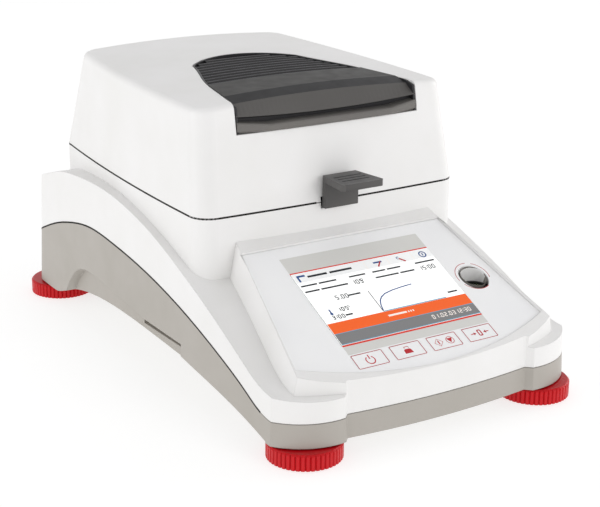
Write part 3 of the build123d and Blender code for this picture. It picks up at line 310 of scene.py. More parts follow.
def nodeTree(name):
    tree = bpy.data.node_groups.new(name, "GeometryNodeTree")
    tree.interface.new_socket("Geometry", in_out="INPUT", socket_type="NodeSocketGeometry")
    tree.interface.new_socket("Geometry", in_out="OUTPUT", socket_type="NodeSocketGeometry")
    return tree


def runTree(name, seedMesh, tree, sizes, body):
    # evaluates the tree on its seed points and keeps the result as a plain mesh
    seed = bpy.data.objects.new(name + "_seed", seedMesh)
    bpy.context.scene.collection.objects.link(seed)
    modifier = seed.modifiers.new("nodes", "NODES")
    modifier.node_group = tree
    for item in tree.interface.items_tree:
        if item.in_out == "INPUT" and item.name in sizes:
            modifier[item.identifier] = sizes[item.name]
    graph = bpy.context.evaluated_depsgraph_get()
    mesh = bpy.data.meshes.new_from_object(seed.evaluated_get(graph))
    bpy.data.objects.remove(seed)
    piece = bpy.data.objects.new(name, mesh)
    mesh.name = name
    bpy.context.scene.collection.objects.link(piece)
    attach(piece, body)
    return piece


# Vent cover of the lid: folded front, smooth band and sunk deck, in mm
vent = {
    "halfFront": 62.5, "gap": 0.4, "columns": 40, "thick": 1.4,
    "crownZ": 171.4, "crownY": -51.5, "crownRise": 0.0246, "crownRadius": 1005.0, "proud": 0.3,
    "wallDepths": (1.6, 2.4, 3.2, 4.0), "wallSlack": 1.0,      # how deep the opening's wall is looked for
    "footZ": 152.4, "recessY": -51.6, "recessDrop": 1.4,
    "visorY": -55.6, "visorZ": 159.6, "visorRise": 2.2,        # the visor's edge is higher at both ends
    "browY": -47.4, "browZ": 169.4, "bandY": -38.0,
    "deckY": -10.0, "deckWall": 0.2, "deckEnd": 56.4, "deckSunk": 2.6, "deckRows": 26,
}
# the cover's faces take copies of one polyamide: painted light on the visor's face, painted shade on the top
# and on the band over the visor
coverFinishes = ("smoothNylon", "litFacetNylon", "shadedTopNylon", "shadedBandNylon")
recessTone, visorTone, topTone, bandTone = range(4)            # places in coverFinishes


def crownAt(x, y):
    v = vent
    return v["crownZ"] + (y - v["crownY"]) * v["crownRise"] - x * x / (2 * v["crownRadius"]) + v["proud"]


def ventHalf(shell, y):
    # half width of the cover at y, a little inside the wall of the opening in the lid
    if y > vent["crownY"]:
        for depth in vent["wallDepths"]:
            place = shell.hit((0, y, crownAt(0, y) - depth), (1, 0, 0))
            if place and place.x < vent["halfFront"] + vent["wallSlack"]:
                return place.x - vent["gap"]
    return vent["halfFront"]


def makeVentCover():
    v = vent
    shell = Surface("lid_shell")
    rows, tones = [], []

    def addRow(y, height, tone):
        half = ventHalf(shell, y)
        across = [half * (2 * k / v["columns"] - 1) for k in range(v["columns"] + 1)]
        rows.append([Vector((x, y, height(x))) for x in across])
        tones.append(tone)

    def visorZ(x):
        return v["visorZ"] + v["visorRise"] * (x / v["halfFront"]) ** 2

    addRow(v["recessY"], lambda x: v["footZ"], recessTone)
    addRow(v["recessY"], lambda x: visorZ(x) - v["recessDrop"], recessTone)
    addRow(v["visorY"], visorZ, visorTone)
    addRow(v["browY"], lambda x: v["browZ"] - x * x / (2 * v["crownRadius"]), bandTone)
    addRow(v["bandY"], lambda x: crownAt(x, v["bandY"]), topTone)
    addRow(v["deckY"], lambda x: crownAt(x, v["deckY"]), recessTone)
    for i in range(v["deckRows"] + 1):
        y = v["deckY"] + v["deckWall"] + (v["deckEnd"] - v["deckY"]) * i / v["deckRows"]
        addRow(y, lambda x, y=y: crownAt(x, y) - v["deckSunk"], recessTone)
    cover = stripPiece("vent_cover", rows, coverFinishes[0], "lid")
    for finish in coverFinishes[1:]:
        cover.data.materials.append(finishes[finish])
    # the tone of each row: painted light on the visor's face, painted shade on the top and on the band
    for face in cover.data.polygons:
        face.material_index = tones[face.index // v["columns"]]
    wall = cover.modifiers.new("wall", "SOLIDIFY")
    wall.thickness = v["thick"] * mm
    wall.offset = 1.0
    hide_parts("lid_insert")


# Cheeks that close the folded front at both sides
cheek = {"thick": 1.3, "rearY": -38.0, "steps": 14, "topDrop": 2.6, "browDrop": 0.9, "rearDrop": 0.4,
         "castY": -120.0, "castBeside": 2.2, "setBack": 0.15}  # the front follows the shell beside it


def makeVentCheeks():
    v, c = vent, cheek
    shell = Surface("lid_shell")
    for side, name in ((-1, "vent_cheek_left"), (1, "vent_cheek_right")):
        outer = side * v["halfFront"]
        top = crownAt(outer, v["browY"])
        edge = []
        for step in range(c["steps"] + 1):
            z = v["footZ"] + (top - c["topDrop"] - v["footZ"]) * step / c["steps"]
            place = shell.hit((outer + side * c["castBeside"], c["castY"], z), (0, 1, 0))
            edge.append((place.y + c["setBack"], z))
        edge.append((v["browY"], top - c["browDrop"]))
        edge.append((c["rearY"], crownAt(outer, c["rearY"]) - c["rearDrop"]))
        edge.append((c["rearY"], v["footZ"]))
        count = len(edge)
        vertices = []
        for x in (outer, outer - side * c["thick"]):
            vertices += [Vector((x, y, z)) * mm for y, z in edge]
        faces = [list(range(count)), list(range(2 * count - 1, count - 1, -1))]
        faces += [[i, count + i, count + (i + 1) % count, (i + 1) % count] for i in range(count)]
        closeShell(meshPiece(name, vertices, faces, "smoothNylon", "lid"))


# Finger lip under the visor: its section runs along a bowed front, and its slanting ends stand higher
lip = {"half": 42.0, "steps": 6, "y": -60.0, "bow": 0.6, "endY": -56.4, "foot": 152.3, "footBevel": 1.2,
       "top": 156.2, "endTop": 158.6, "bevel": 0.7, "tuck": 1.0, "rearRise": 0.4}


def makeVentLip():
    p = lip
    half, foot = p["half"], p["foot"]
    rear = vent["recessY"] + p["tuck"]
    stations = [-vent["halfFront"], -half] + [half * (i / p["steps"] - 1) for i in range(1, 2 * p["steps"])]
    stations += [half, vent["halfFront"]]
    rows = []
    for x in stations:
        inner = abs(x) <= half
        front = p["y"] - p["bow"] * (1 - (x / half) ** 2) if inner else p["endY"]
        top = p["top"] if inner else p["endTop"]
        section = [(rear, foot), (front + p["footBevel"], foot), (front, foot + p["footBevel"]),
                   (front, top - p["bevel"]), (front + p["bevel"], top), (rear, top + p["rearRise"]),
                   (rear, foot)]
        rows.append([Vector((x, y, z)) for y, z in section])
    # the lip's lighter nylon is a painted highlight on its top
    closeShell(stripPiece("vent_lip", rows, "litLipNylon", "lid"))


# Upstanding edge round the ribbed deck; its angles are seen from the centre of the deck
rim = {"center": (0.0, 12.0), "from": -22.0, "to": 202.0, "steps": 90, "reach": 48.0, "castDepth": 1.3,
       "wide": 1.1, "deep": 3.0, "drop": 0.1}


def makeVentRim():
    shell = Surface("lid_shell")
    cx, cy = rim["center"]
    height = crownAt(cx, cy)
    rows = []
    for i in range(rim["steps"] + 1):
        angle = math.radians(rim["from"] + (rim["to"] - rim["from"]) * i / rim["steps"])
        out = Vector((math.cos(angle), math.sin(angle), 0))
        # the ray climbs with the crown, so that it meets the wall of the opening at half its depth
        far = Vector((cx, cy, 0)) + out * rim["reach"]
        climb = Vector((0, 0, (crownAt(far.x, far.y) - height) / rim["reach"]))
        place = shell.hit((cx, cy, height - vent["proud"] - rim["castDepth"]), (out + climb).normalized())
        if not place:
            continue
        outer = place - out * vent["gap"]
        inner = outer - out * rim["wide"]
        top = crownAt(outer.x, outer.y) - vent["proud"] - rim["drop"]
        foot = top - rim["deep"]
        section = [(outer, foot), (outer, top), (inner, top), (inner, foot), (outer, foot)]
        rows.append([Vector((at.x, at.y, z)) for at, z in section])
    closeShell(stripPiece("vent_rim", rows, "smoothNylon", "lid"))


# Ribs across the deck
ribs = {"count": 10, "pitch": 6.1, "first": -6.2, "width": 4.0, "height": 1.3, "margin": 0.5, "sunk": 0.5,
        "sides": 12, "segments": 14}


def ribTree():
    # a bar of unit length on each point, stretched to the point's own reach and bent with the crown
    tree = nodeTree("ventRibs")
    for name in ("Rib width", "Rib height", "Crown bend"):
        tree.interface.new_socket(name, in_out="INPUT", socket_type="NodeSocketFloat")
    start = addNode(tree, "NodeGroupInput")
    unitBar = {"Vertices": ribs["sides"], "Side Segments": ribs["segments"], "Radius": 0.5, "Depth": 2.0}
    bar = addNode(tree, "GeometryNodeMeshCylinder", unitBar)
    lying = addNode(tree, "GeometryNodeTransform", {"Rotation": (0, math.pi / 2, 0)},
                    {"Geometry": bar.outputs["Mesh"]})
    size = addNode(tree, "ShaderNodeCombineXYZ", {"X": 1.0},
                   {"Y": start.outputs["Rib width"], "Z": start.outputs["Rib height"]})
    shaped = addNode(tree, "GeometryNodeTransform",
                     links={"Geometry": lying.outputs["Geometry"], "Scale": size.outputs["Vector"]})
    reach = addNode(tree, "GeometryNodeInputNamedAttribute", {"data_type": "FLOAT", "Name": "reach"})
    stretch = addNode(tree, "ShaderNodeCombineXYZ", {"Y": 1.0, "Z": 1.0}, {"X": reach.outputs["Attribute"]})
    points = addNode(tree, "GeometryNodeMeshToPoints", links={"Mesh": start.outputs["Geometry"]})
    placed = addNode(tree, "GeometryNodeInstanceOnPoints",
                     links={"Points": points.outputs["Points"], "Instance": shaped.outputs["Geometry"],
                            "Scale": stretch.outputs["Vector"]})
    solid = addNode(tree, "GeometryNodeRealizeInstances", links={"Geometry": placed.outputs["Instances"]})
    position = addNode(tree, "GeometryNodeInputPosition").outputs["Position"]
    across = addNode(tree, "ShaderNodeSeparateXYZ", links={"Vector": position}).outputs["X"]
    square = addNode(tree, "ShaderNodeMath", {"operation": "MULTIPLY"})
    drop = addNode(tree, "ShaderNodeMath", {"operation": "DIVIDE"})
    tree.links.new(across, square.inputs[0])
    tree.links.new(across, square.inputs[1])
    tree.links.new(square.outputs[0], drop.inputs[0])
    tree.links.new(start.outputs["Crown bend"], drop.inputs[1])
    sink = addNode(tree, "ShaderNodeCombineXYZ", links={"Z": drop.outputs[0]})
    bent = addNode(tree, "GeometryNodeSetPosition",
                   links={"Geometry": solid.outputs["Geometry"], "Offset": sink.outputs["Vector"]})
    coated = addNode(tree, "GeometryNodeSetMaterial", {"Material": finishes["smoothNylon"]},
                     {"Geometry": bent.outputs["Geometry"]})
    addNode(tree, "NodeGroupOutput", links={"Geometry": coated.outputs["Geometry"]})
    return tree


def makeVentRibs():
    r = ribs
    shell = Surface("lid_shell")
    places, reaches = [], []
    for i in range(r["count"]):
        y = r["first"] + i * r["pitch"]
        reach = ventHalf(shell, y + r["width"] / 2) - r["margin"]
        places.append(Vector((0, y, crownAt(0, y) - vent["proud"] - r["sunk"] - r["height"])) * mm)
        reaches.append(reach * mm)
    seed = bpy.data.meshes.new("ventRibSeed")
    seed.from_pydata(places, [], [])
    seed.attributes.new("reach", "FLOAT", "POINT").data.foreach_set("value", reaches)
    sizes = {"Rib width": r["width"] * mm, "Rib height": 2 * r["height"] * mm,
             "Crown bend": -2 * vent["crownRadius"] * mm}
    runTree("vent_ribs", seed, ribTree(), sizes, "lid")


makeVentCover()
makeVentCheeks()
makeVentLip()
makeVentRim()
makeVentRibs()
print("vent cover ready")


# Dark strips that show in the joints of the casing, in mm: painted shade, standing for the shade inside the
# gaps
jointShadeSection = {"half": 0.55, "proud": 0.07, "sunk": 0.25}


def jointShadeStrips(name, runs, body):
    # one thin strip for each unbroken run of places
    s = jointShadeSection
    vertices, faces = [], []
    for run in runs:
        if len(run) < 3:
            continue
        first = len(vertices)
        for place, out in run:
            for rise in (-s["half"], s["half"]):
                for depth in (s["proud"], -s["sunk"]):
                    vertices.append((place + out * depth + Vector((0, 0, rise))) * mm)
        for i in range(len(run) - 1):
            a, b = first + 4 * i, first + 4 * (i + 1)
            for k, m in ((0, 1), (1, 3), (3, 2), (2, 0)):
                faces.append([a + k, a + m, b + m, b + k])
        last = first + 4 * (len(run) - 1)
        faces += [[first, first + 2, first + 3, first + 1], [last, last + 1, last + 3, last + 2]]
    closeShell(meshPiece(name, vertices, faces, "paintedJointShade", body))


def splitRuns(places, jump):
    # a new run starts where a place is missing or stands further off than the jump
    runs, run = [], []
    for item in places:
        if item is None or (run and (item[0] - run[-1][0]).length > jump):
            runs.append(run)
            run = []
        if item is not None:
            run.append(item)
    runs.append(run)
    return runs


# Painted shade in the joint between the chamber's rim and the lid, left open for the pan holder at the front
lidJointShade = {"steps": 360, "centerY": 40.0, "castFrom": 300.0, "castRise": 0.35, "openHalf": 13.5,
           "jump": 25.0, "wallZ": 112.0, "wallFrom": -200.0, "inWall": 0.8, "underLid": 90.0, "drop": 0.15}


def seamLevel(lid):
    # middle of the joint, on the left wall
    s = lidJointShade
    x = lid.hit((s["wallFrom"], 0, s["wallZ"]), (1, 0, 0)).x + s["inWall"]
    return lid.hit((x, 0, s["underLid"]), (0, 0, 1)).z - s["drop"]


def makeLidJointShade():
    s = lidJointShade
    lid = Surface("lid_shell")
    level = seamLevel(lid)
    places = []
    for i in range(s["steps"] + 1):
        angle = 2 * math.pi * i / s["steps"] - math.pi / 2
        out = Vector((math.cos(angle), math.sin(angle), 0))
        start = Vector((0, s["centerY"], level + s["castRise"])) + out * s["castFrom"]
        place, normal = lid.cast(start, -out)
        if not place or (abs(place.x) < s["openHalf"] and place.y < 0):
            places.append(None)
            continue
        flat = Vector((normal.x, normal.y, 0)).normalized()
        places.append((Vector((place.x, place.y, level)), flat))
    jointShadeStrips("lid_joint_shade", splitRuns(places, s["jump"]), "base")


# Painted shade along both sides, in the joint where the outermost wall changes from the tray to the upper
# housing
housingJointShade = {"yFrom": -160.0, "yTo": 174.0, "yStep": 2.0, "top": 100.0, "foot": 22.0, "zStep": 1.5,
               "halvings": 6, "jump": 7.0, "castFrom": 200.0, "leastX": 84.0, "cover": 0.4, "below": 0.2,
               "rise": 0.1}


def makeHousingJointShade():
    s = housingJointShade
    lower, upper = Surface("lower_housing"), Surface("upper_housing")

    def trayWall(side, y, z):
        # the tray's wall, or None where the upper housing covers it
        start, toward = (side * s["castFrom"], y, z), (-side, 0, 0)
        tray, shell = lower.hit(start, toward), upper.hit(start, toward)
        if tray and abs(tray.x) > s["leastX"] and (not shell or abs(shell.x) < abs(tray.x) + s["cover"]):
            return tray
        return None

    runs = []
    for side in (-1, 1):
        places = []
        for i in range(int((s["yTo"] - s["yFrom"]) / s["yStep"]) + 1):
            y = s["yFrom"] + i * s["yStep"]
            high = s["top"]
            while high > s["foot"] and not trayWall(side, y, high):
                high -= s["zStep"]
            if high <= s["foot"]:
                places.append(None)
                continue
            low, high = high, high + s["zStep"]
            for halving in range(s["halvings"]):
                middle = (low + high) / 2
                low, high = (middle, high) if trayWall(side, y, middle) else (low, middle)
            x = trayWall(side, y, low - s["below"]).x
            places.append((Vector((x, y, low + s["rise"])), Vector((side, 0, 0))))
        runs += splitRuns(places, s["jump"])
    jointShadeStrips("housing_joint_shade", runs, "base")


makeLidJointShade()
makeHousingJointShade()
print("joint_shades ready")


# The control panel's own plane: x across, run up the slope, height out of it; mm and degrees
panel = {"frontY": -174.0, "frontZ": 39.5, "tilt": 25.7, "faceHeight": -1.8}
inkStep = 0.03        # thickness of a layer of ink, and how far the next stands over it


def onPanel(x, run, height=0.0):
    tilt = math.radians(panel["tilt"])
    lift = panel["faceHeight"] + height
    y = panel["frontY"] + run * math.cos(tilt) - lift * math.sin(tilt)
    z = panel["frontZ"] + run * math.sin(tilt) + lift * math.cos(tilt)
    return Vector((x * mm, y * mm, z * mm))


def boxPoints(x0, x1, r0, r1):
    return [(x0, r0), (x1, r0), (x1, r1), (x0, r1)]


def arcPoints(cx, cr, radius, start, end, steps):
    angles = [math.radians(start + (end - start) * i / steps) for i in range(steps + 1)]
    return [(cx + radius * math.cos(a), cr + radius * math.sin(a)) for a in angles]


def roundedBox(cx, cr, halfX, halfR, corner, steps=4):
    # anticlockwise from the right-hand side
    points = []
    for qx, qr, start in ((1, 1, 0), (-1, 1, 90), (-1, -1, 180), (1, -1, 270)):
        x, r = cx + qx * (halfX - corner), cr + qr * (halfR - corner)
        points += arcPoints(x, r, corner, start, start + 90, steps)
    return points


class Print:
    # flat marks gathered into one thin mesh, each a closed outline with a small thickness

    def __init__(self, thick=inkStep):
        self.vertices, self.faces, self.thick = [], [], thick

    def outline(self, points, base=0.0):
        start, count = len(self.vertices), len(points)
        for height in (base, base + self.thick):
            self.vertices += [onPanel(x, run, height) for x, run in points]
        low, high = list(range(start, start + count)), list(range(start + count, start + 2 * count))
        self.faces.append(list(reversed(low)))
        self.faces.append(high)
        for i in range(count):
            j = (i + 1) % count
            self.faces.append([low[i], low[j], high[j], high[i]])

    def bar(self, x0, x1, r0, r1, base=0.0):
        self.outline(boxPoints(x0, x1, r0, r1), base)

    def stroke(self, points, width, closed=False, base=0.0):
        # a line of constant width: one quad for each run, its corners shared with the next
        count = len(points)
        sides = []
        for i, (x, r) in enumerate(points):
            before = points[i - 1] if i or closed else points[i]
            after = points[(i + 1) % count] if i < count - 1 or closed else points[i]
            dx, dr = after[0] - before[0], after[1] - before[1]
            length = math.hypot(dx, dr) or 1.0
            nx, nr = -dr / length * width / 2, dx / length * width / 2
            sides.append(((x + nx, r + nr), (x - nx, r - nr)))
        for i in range(count if closed else count - 1):
            a, b = sides[i], sides[(i + 1) % count]
            self.outline([a[1], b[1], b[0], a[0]], base)

    def draw(self, shapes, x=0.0, run=0.0, base=0.0):
        # shapes: line, loop or filled, its points about x and run, and the width of the line
        for kind, points, width in shapes:
            placed = [(x + px, run + pr) for px, pr in points]
            if kind == "filled":
                self.outline(placed, base)
            else:
                self.stroke(placed, width, kind == "loop", base)

    def piece(self, name, ink, body, slotName):
        return meshPiece(name, self.vertices, self.faces, inks[ink], body)


inks = {
    # the lit picture glows a little, because the real one is backlit
    "lit": printInk("displayLit", "#FBFCFB", 0.25, 0.35),
    "tab": printInk("displayTab", "#E9EAEA", 0.25, 0.25),
    "orange": printInk("displayOrange", "#EE5E12", 0.3, 0.2),
    "grey": printInk("displayGrey", "#7E7E7F", 0.3, 0.1),
    "pale": printInk("displayPale", "#F2E9E2", 0.3, 0.2),
    "dark": printInk("displayDark", "#23262B", 0.3),
    "blue": printInk("displayBlue", "#27508F", 0.3),
    "cyan": printInk("displayCyan", "#5CA6C4", 0.3, 0.1),
    # screen-printed inks on the film: satin
    "red": printInk("redInk", "#E2341F", 0.5),
    "fineRed": printInk("fineRedInk", "#B8484A", 0.5),
    "symbolRed": printInk("symbolRedInk", "#C01422", 0.5),
    "windowGrey": printInk("windowGrey", "#DBDAD6", 0.36),
}


# Digits as seven short bars; a point and a colon are small squares, sized by the weight of the bars
segmentLines = {
    "a": ((0, 2), (1, 2)), "b": ((1, 1), (1, 2)), "c": ((1, 0), (1, 1)), "d": ((0, 0), (1, 0)),
    "e": ((0, 0), (0, 1)), "f": ((0, 1), (0, 2)), "g": ((0, 1), (1, 1))}
digitSegments = {"0": "abcdef", "1": "bc", "2": "abged", "3": "abgcd", "4": "fgbc", "5": "afgcd",
                 "6": "afgedc", "7": "abc", "8": "abcdefg", "9": "abcdfg"}
lettering = {"slim": 0.5, "space": 2.4, "dotSpace": 2.6, "point": 1.3, "colonDot": 1.2,
             "colonAt": (0.25, 0.7)}


def writeNumber(marks, text, x, run, height, weight, base=0.0):
    t = lettering
    width = height * t["slim"]
    for letter in text:
        if letter == ".":
            side = weight * t["point"]
            marks.bar(x, x + side, run, run + side, base)
            x += weight * t["dotSpace"]
            continue
        if letter == ":":
            side = weight * t["colonDot"]
            for part in t["colonAt"]:
                marks.bar(x, x + side, run + height * part, run + height * part + side, base)
            x += weight * t["dotSpace"]
            continue
        for segment in digitSegments[letter]:
            (ax, ar), (bx, br) = segmentLines[segment]
            ends = [(x + ax * width, run + ar * height / 2), (x + bx * width, run + br * height / 2)]
            marks.stroke(ends, weight, base=base)
        x += width + weight * t["space"]


# Picture on the display in the panel's mm: plain bars stand for words, numbers are generic
display = {
    "x0": -49.1, "x1": 47.0, "run0": 32.8, "run1": 90.0, "over": 0.4,
    "orange": (41.0, 49.2), "titleRun": 82.6, "titleTop": 0.2,
    "tabs": (-0.6, 15.4, 33.0), "tabHalf": 0.2, "tabTop": 1.6,
    # baseline, height of the small letters, then the start and end of each word
    "darkWords": [
        (84.9, 2.5, [(-40.2, -27.2), (-25.4, -10.2)]),
        (78.8, 1.9, [(-48.2, -37.6), (-36.4, -24.6), (-15.8, -4.6), (0.4, 9.6), (10.8, 20.4), (31.0, 45.0)]),
        (74.1, 1.9, [(-48.2, -38.6), (-37.4, -19.4), (0.0, 16.2), (17.4, 27.6)]),
        (65.5, 1.9, [(-24.4, -16.2)]),
        (51.9, 1.9, [(-34.4, -29.8), (36.8, 43.6)])],
    "paleWords": [(44.5, 2.2, [(-10.0, 2.6), (3.6, 4.4), (5.2, 6.0), (6.8, 7.6)])],
    "wordPart": (0.2, 0.8),              # the part of the letters' height that a bar fills
    # x, baseline, height and text
    "darkNumbers": [(-16.2, 73.6, 2.9, "105"), (31.4, 73.6, 2.9, "15:00"), (-32.8, 65.1, 2.9, "5.00"),
                    (-36.6, 56.4, 2.6, "105"), (-43.0, 51.5, 2.6, "3:00")],
    "paleNumbers": [(15.6, 36.2, 2.7, "01.02.03"), (32.6, 36.2, 2.7, "12:30")],
    "darkWeight": 0.5, "paleWeight": 0.45,
    "degrees": [(-9.4, 76.0), (-29.4, 58.6)], "degreeRadius": 0.7, "degreeLine": 0.3,
    "axisX": -10.9, "axisTop": 66.7, "axisEnd": 33.4, "axisFoot": 0.4, "axisLine": 0.45,
    "cyanHalf": 0.2, "cyanFoot": 0.3, "cyanAxis": (0.1, 0.7),
    "blueShapes": [
        ("line", [(-10.6, 50.2), (-9.6, 54.3), (-8.0, 57.7), (-5.6, 60.2), (-1.9, 62.1), (4.1, 63.5),
                  (10.7, 64.3), (18.7, 64.9)], 0.7),                   # drying curve
        ("line", [(-42.0, 59.3), (-42.0, 56.4)], 0.9),                 # thermometer
        ("filled", arcPoints(-42.0, 55.8, 1.0, 0, 324, 9), 0),
        ("filled", boxPoints(-47.0, -41.4, 86.8, 88.2), 0),            # window symbol
        ("filled", boxPoints(-47.0, -45.8, 83.1, 86.8), 0),
        ("filled", boxPoints(5.2, 11.2, 85.9, 87.1), 0),               # page symbol
        ("loop", arcPoints(40.4, 85.6, 2.2, 0, 345, 23), 0.8),         # round symbol
        ("filled", boxPoints(40.0, 40.8, 84.6, 86.6), 0),
        ("line", arcPoints(22.9, 86.6, 0.9, 20, 290, 9), 0.5),         # tool symbol
    ],
    "redShapes": [("line", [(7.0, 83.0), (10.2, 86.6)], 0.9), ("line", [(23.5, 86.0), (26.6, 83.0)], 1.1)],
}


def writeWords(marks, rows, base):
    foot, top = display["wordPart"]
    for baseline, height, words in rows:
        for start, end in words:
            marks.bar(start, end, baseline + height * foot, baseline + height * top, base)


def displayField(name, ink, x0, x1, r0, r1, thick=inkStep, base=0.0):
    field = Print(thick)
    field.bar(x0, x1, r0, r1, base)
    field.piece(name, ink, "base", "screen_glass")


def makeDisplay():
    d = display
    x0, x1 = d["x0"], d["x1"]
    low, high = d["orange"]
    over = d["over"]
    displayField("display_picture", "lit", x0, x1, d["run0"], d["run1"], over)
    displayField("display_title", "tab", x0, x1, d["titleRun"], d["run1"] - d["titleTop"], base=over)
    displayField("display_bar", "orange", x0, x1, low, high, base=over)
    displayField("display_footer", "grey", x0, x1, d["run0"], low, base=over)
    over += inkStep
    dark = Print()
    writeWords(dark, d["darkWords"], over)
    for x, run, height, text in d["darkNumbers"]:
        writeNumber(dark, text, x, run, height, d["darkWeight"], over)
    for x, run in d["degrees"]:
        dark.stroke(arcPoints(x, run, d["degreeRadius"], 0, 330, 11), d["degreeLine"], True, over)
    axis = [(d["axisX"], d["axisTop"]), (d["axisX"], high + d["axisFoot"])]
    dark.stroke(axis, d["axisLine"], base=over)
    dark.piece("display_words", "dark", "base", "screen_glass")
    pale = Print()
    writeWords(pale, d["paleWords"], over)
    for x, run, height, text in d["paleNumbers"]:
        writeNumber(pale, text, x, run, height, d["paleWeight"], over)
    for x in d["tabs"]:
        pale.bar(x - d["tabHalf"], x + d["tabHalf"], d["titleRun"], d["run1"] - d["tabTop"], over)
    pale.piece("display_pale_marks", "pale", "base", "screen_glass")
    blue = Print()
    blue.draw(d["blueShapes"], base=over)
    blue.piece("display_blue_marks", "blue", "base", "screen_glass")
    cyan = Print()
    for run in (low, d["run0"] + d["cyanFoot"]):
        cyan.bar(x0, x1, run - d["cyanHalf"], run + d["cyanHalf"], over)
    foot, top = d["cyanAxis"]
    cyan.bar(d["axisX"], d["axisEnd"], high + foot, high + top, over)
    cyan.piece("display_cyan_lines", "cyan", "base", "screen_glass")
    red = Print()
    red.draw(d["redShapes"], base=over + inkStep)
    red.piece("display_red_marks", "symbolRed", "base", "screen_glass")
    print("display ready")


# Print on the overlay film, in the panel's mm
windowPrint = {"rear": 103.4, "front": 25.4, "side": 0.2, "gap": 0.9, "lineWidth": 1.1, "lineGap": 0.1}
levelPrint = {"x": 61.5, "run": 61.4, "radius": 10.9, "line": 0.4,
              "arcs": ((-20, 62), (82, 188), (208, 300)), "arcSteps": 28}
# the grey sleeve in the level's hole is painted shade of the deep hole
levelShade = {"beside": 0.9, "radius": 8.2, "heights": (-0.35, -3.0, -6.0, -9.0), "steps": 48}


def makePanelPrint():
    d, w = display, windowPrint
    x0, x1 = d["x0"] - w["side"], d["x1"] + w["side"]
    grey = Print()
    grey.bar(x0, x1, d["run1"] + w["gap"], w["rear"])
    grey.bar(x0, x1, w["front"], d["run0"] - w["gap"])
    grey.piece("panel_window_print", "windowGrey", "base", "overlay")
    red = Print()
    near, far = w["lineGap"], w["lineGap"] + w["lineWidth"]
    red.bar(x0, x1, d["run0"] - far, d["run0"] - near, inkStep)
    red.bar(x0, x1, d["run1"] + near, d["run1"] + far, inkStep)
    red.piece("panel_red_lines", "red", "base", "overlay")
    print("panel print ready")


def makeLevelPrint():
    p, s = levelPrint, levelShade
    ring = Print()
    for start, end in p["arcs"]:
        ring.stroke(arcPoints(p["x"], p["run"], p["radius"], start, end, p["arcSteps"]), p["line"])
    ring.piece("level_ring_print", "fineRed", "base", "overlay")
    circle = arcPoints(p["x"] + s["beside"], p["run"], s["radius"], 360, 0, s["steps"])
    rows = [[onPanel(x, run, height) / mm for x, run in circle] for height in s["heights"]]
    wall = stripPiece("level_shade", rows, "shadeAbs", "base")
    wall.data.flip_normals()
    print("level print ready")


# Frames and symbols of the keys; a symbol's points lie about the middle of its key
keyPrint = {"halfX": 10.0, "halfRun": 5.15, "run": 19.4, "line": 0.42, "corner": 0.5,
            "zero": {"x": -1.0, "run": -2.0, "height": 4.0, "weight": 0.75}}
keySymbols = {
    "key_power": [
        ("line", arcPoints(0, -0.4, 2.7, 125, 415, 26), 0.62),
        ("line", [(0, 0.4), (0, 3.4)], 0.7)],
    "key_print": [
        ("filled", [(-2.7, -2.2), (2.7, -2.2), (2.2, 0.4), (1.4, 1.0), (-1.6, 1.0), (-2.4, 0.4)], 0),
        ("line", [(-1.5, 1.6), (-1.3, 2.6), (1.3, 2.6), (1.5, 1.6)], 0.4)],
    "key_start": [
        ("loop", [(-6.6, 0), (-3.9, 2.8), (-1.2, 0), (-3.9, -2.8)], 0.35),
        ("line", [(-3.9, -1.5), (-3.9, 1.5)], 0.75),
        ("loop", arcPoints(3.9, 0, 2.5, 0, 345, 23), 0.35),
        ("filled", [(1.9, 1.5), (3.9, -1.9), (5.9, 1.5)], 0)],
    "key_tare": [
        ("line", [(-6.2, 0), (-3.4, 0)], 0.6),
        ("filled", [(-4.2, -1.1), (-2.6, 0), (-4.2, 1.1)], 0),
        ("line", [(6.2, 0), (3.4, 0)], 0.6),
        ("filled", [(4.2, -1.1), (4.2, 1.1), (2.6, 0)], 0)],
}


def makeKeyPrint():
    k, zero = keyPrint, keyPrint["zero"]
    inset = k["line"] / 2
    for name, shapes in keySymbols.items():
        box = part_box(name)
        x = (box[0][0] + box[1][0]) / 2 / mm
        edge = Print()
        edge.stroke(roundedBox(x, k["run"], k["halfX"] - inset, k["halfRun"] - inset, k["corner"]),
                    k["line"], True)
        edge.piece(name + "_outline", "fineRed", name, "overlay")
        symbol = Print()
        symbol.draw(shapes, x, k["run"])
        if name == "key_tare":
            writeNumber(symbol, "0", x + zero["x"], k["run"] + zero["run"], zero["height"], zero["weight"])
        symbol.piece(name + "_symbol", "symbolRed", name, "overlay")
    print("key print ready")


makeDisplay()
makePanelPrint()
makeLevelPrint()
makeKeyPrint()


# Floor, light and camera, in metres
paper = {"half": 6.0, "base": "#9E9E9D", "glow": 0.72, "lump": 60, "roughness": (0.72, 0.8)}


def makeStage():
    # pale paper sweep that glows a little, so that it stays even
    half = paper["half"]
    mesh = bpy.data.meshes.new("floor")
    corners = [(-half, -half, 0), (half, -half, 0), (half, half, 0), (-half, half, 0)]
    mesh.from_pydata(corners, [], [(0, 1, 2, 3)])
    floor = bpy.data.objects.new("floor", mesh)
    bpy.context.scene.collection.objects.link(floor)
    material, tree, shader, place = startMaterial("paperSweep")
    shader.inputs["Base Color"].default_value = hexColor(paper["base"])
    shader.inputs["Emission Color"].default_value = (1, 1, 1, 1)
    shader.inputs["Emission Strength"].default_value = paper["glow"]
    cloud = patternAt(tree, place, paper["lump"], 2)
    tree.links.new(spread(tree, cloud.outputs["Fac"], *paper["roughness"]), shader.inputs["Roughness"])
    mesh.materials.append(material)


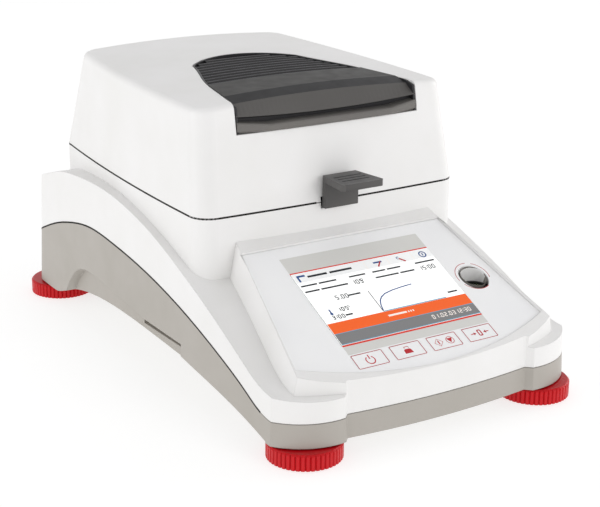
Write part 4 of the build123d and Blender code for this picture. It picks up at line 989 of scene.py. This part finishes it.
# name: place, the point it shines at, diameter and power in watts
lights = {
    "keyLight": ((0.5, -2.0, 0.9), (0, -0.02, 0.08), 1.1, 7.0),
    "leftLight": ((-1.9, 0.5, 0.7), (0, 0, 0.08), 1.3, 8.0),
    "fillLight": ((2.0, -0.2, 0.8), (0, 0, 0.08), 1.3, 9.0),
    "topLight": ((0.1, 0.5, 1.9), (0, 0, 0.1), 1.2, 2.0),
}
surroundings = {"tint": "#FDFDFE", "horizon": 0.94, "zenith": 0.50, "horizonUpTo": 0.1, "zenithFrom": 0.9}


def makeLights():
    for name, (place, aim, size, power) in lights.items():
        data = bpy.data.lights.new(name, "AREA")
        data.shape = "DISK"
        data.size = size
        data.energy = power
        lamp = bpy.data.objects.new(name, data)
        lamp.location = place
        lamp.rotation_euler = (Vector(aim) - Vector(place)).to_track_quat("-Z", "Y").to_euler()
        bpy.context.scene.collection.objects.link(lamp)


def makeWorld():
    # the surroundings are brightest near the horizon, as between two tall soft boxes
    s = surroundings
    world = bpy.data.worlds.new("studio")
    world.use_nodes = True
    tree = world.node_tree
    background = tree.nodes["Background"]
    direction = addNode(tree, "ShaderNodeTexCoord").outputs["Generated"]
    height = addNode(tree, "ShaderNodeSeparateXYZ", links={"Vector": direction}).outputs["Z"]
    limits = {"From Min": s["horizonUpTo"], "From Max": s["zenithFrom"], "To Min": s["horizon"],
              "To Max": s["zenith"]}
    strength = addNode(tree, "ShaderNodeMapRange", limits, {"Value": height})
    background.inputs["Color"].default_value = hexColor(s["tint"])
    tree.links.new(strength.outputs["Result"], background.inputs["Strength"])
    bpy.context.scene.world = world
    bpy.context.scene.view_settings.view_transform = "Standard"


# place and lens in mm, angles in degrees
camera = {"place": (-469.0, -745.4, 343.8), "azimuth": -33.0, "elevation": 18.1, "roll": 0.5, "lens": 87.9,
          "sensor": 36.0, "shiftX": 0.0043}


def makeCamera():
    az, el = math.radians(camera["azimuth"]), math.radians(camera["elevation"])
    back = Vector((math.sin(az) * math.cos(el), -math.cos(az) * math.cos(el), math.sin(el)))
    right = Vector((math.cos(az), math.sin(az), 0))
    up = back.cross(right)
    turn = Matrix.Rotation(math.radians(camera["roll"]), 3, back)
    right, up = turn @ right, turn @ up
    spot = Vector(camera["place"]) * mm
    data = bpy.data.cameras.new("photoView")
    data.sensor_fit = "HORIZONTAL"
    data.sensor_width = camera["sensor"]
    data.lens = camera["lens"]
    data.shift_x = camera["shiftX"]
    view = bpy.data.objects.new("photoView", data)
    rows = [(right[i], up[i], back[i], spot[i]) for i in range(3)]
    view.matrix_world = Matrix((*rows, (0, 0, 0, 1)))
    bpy.context.scene.collection.objects.link(view)
    bpy.context.scene.camera = view


makeStage()
makeLights()
makeWorld()
makeCamera()
print("stage ready")
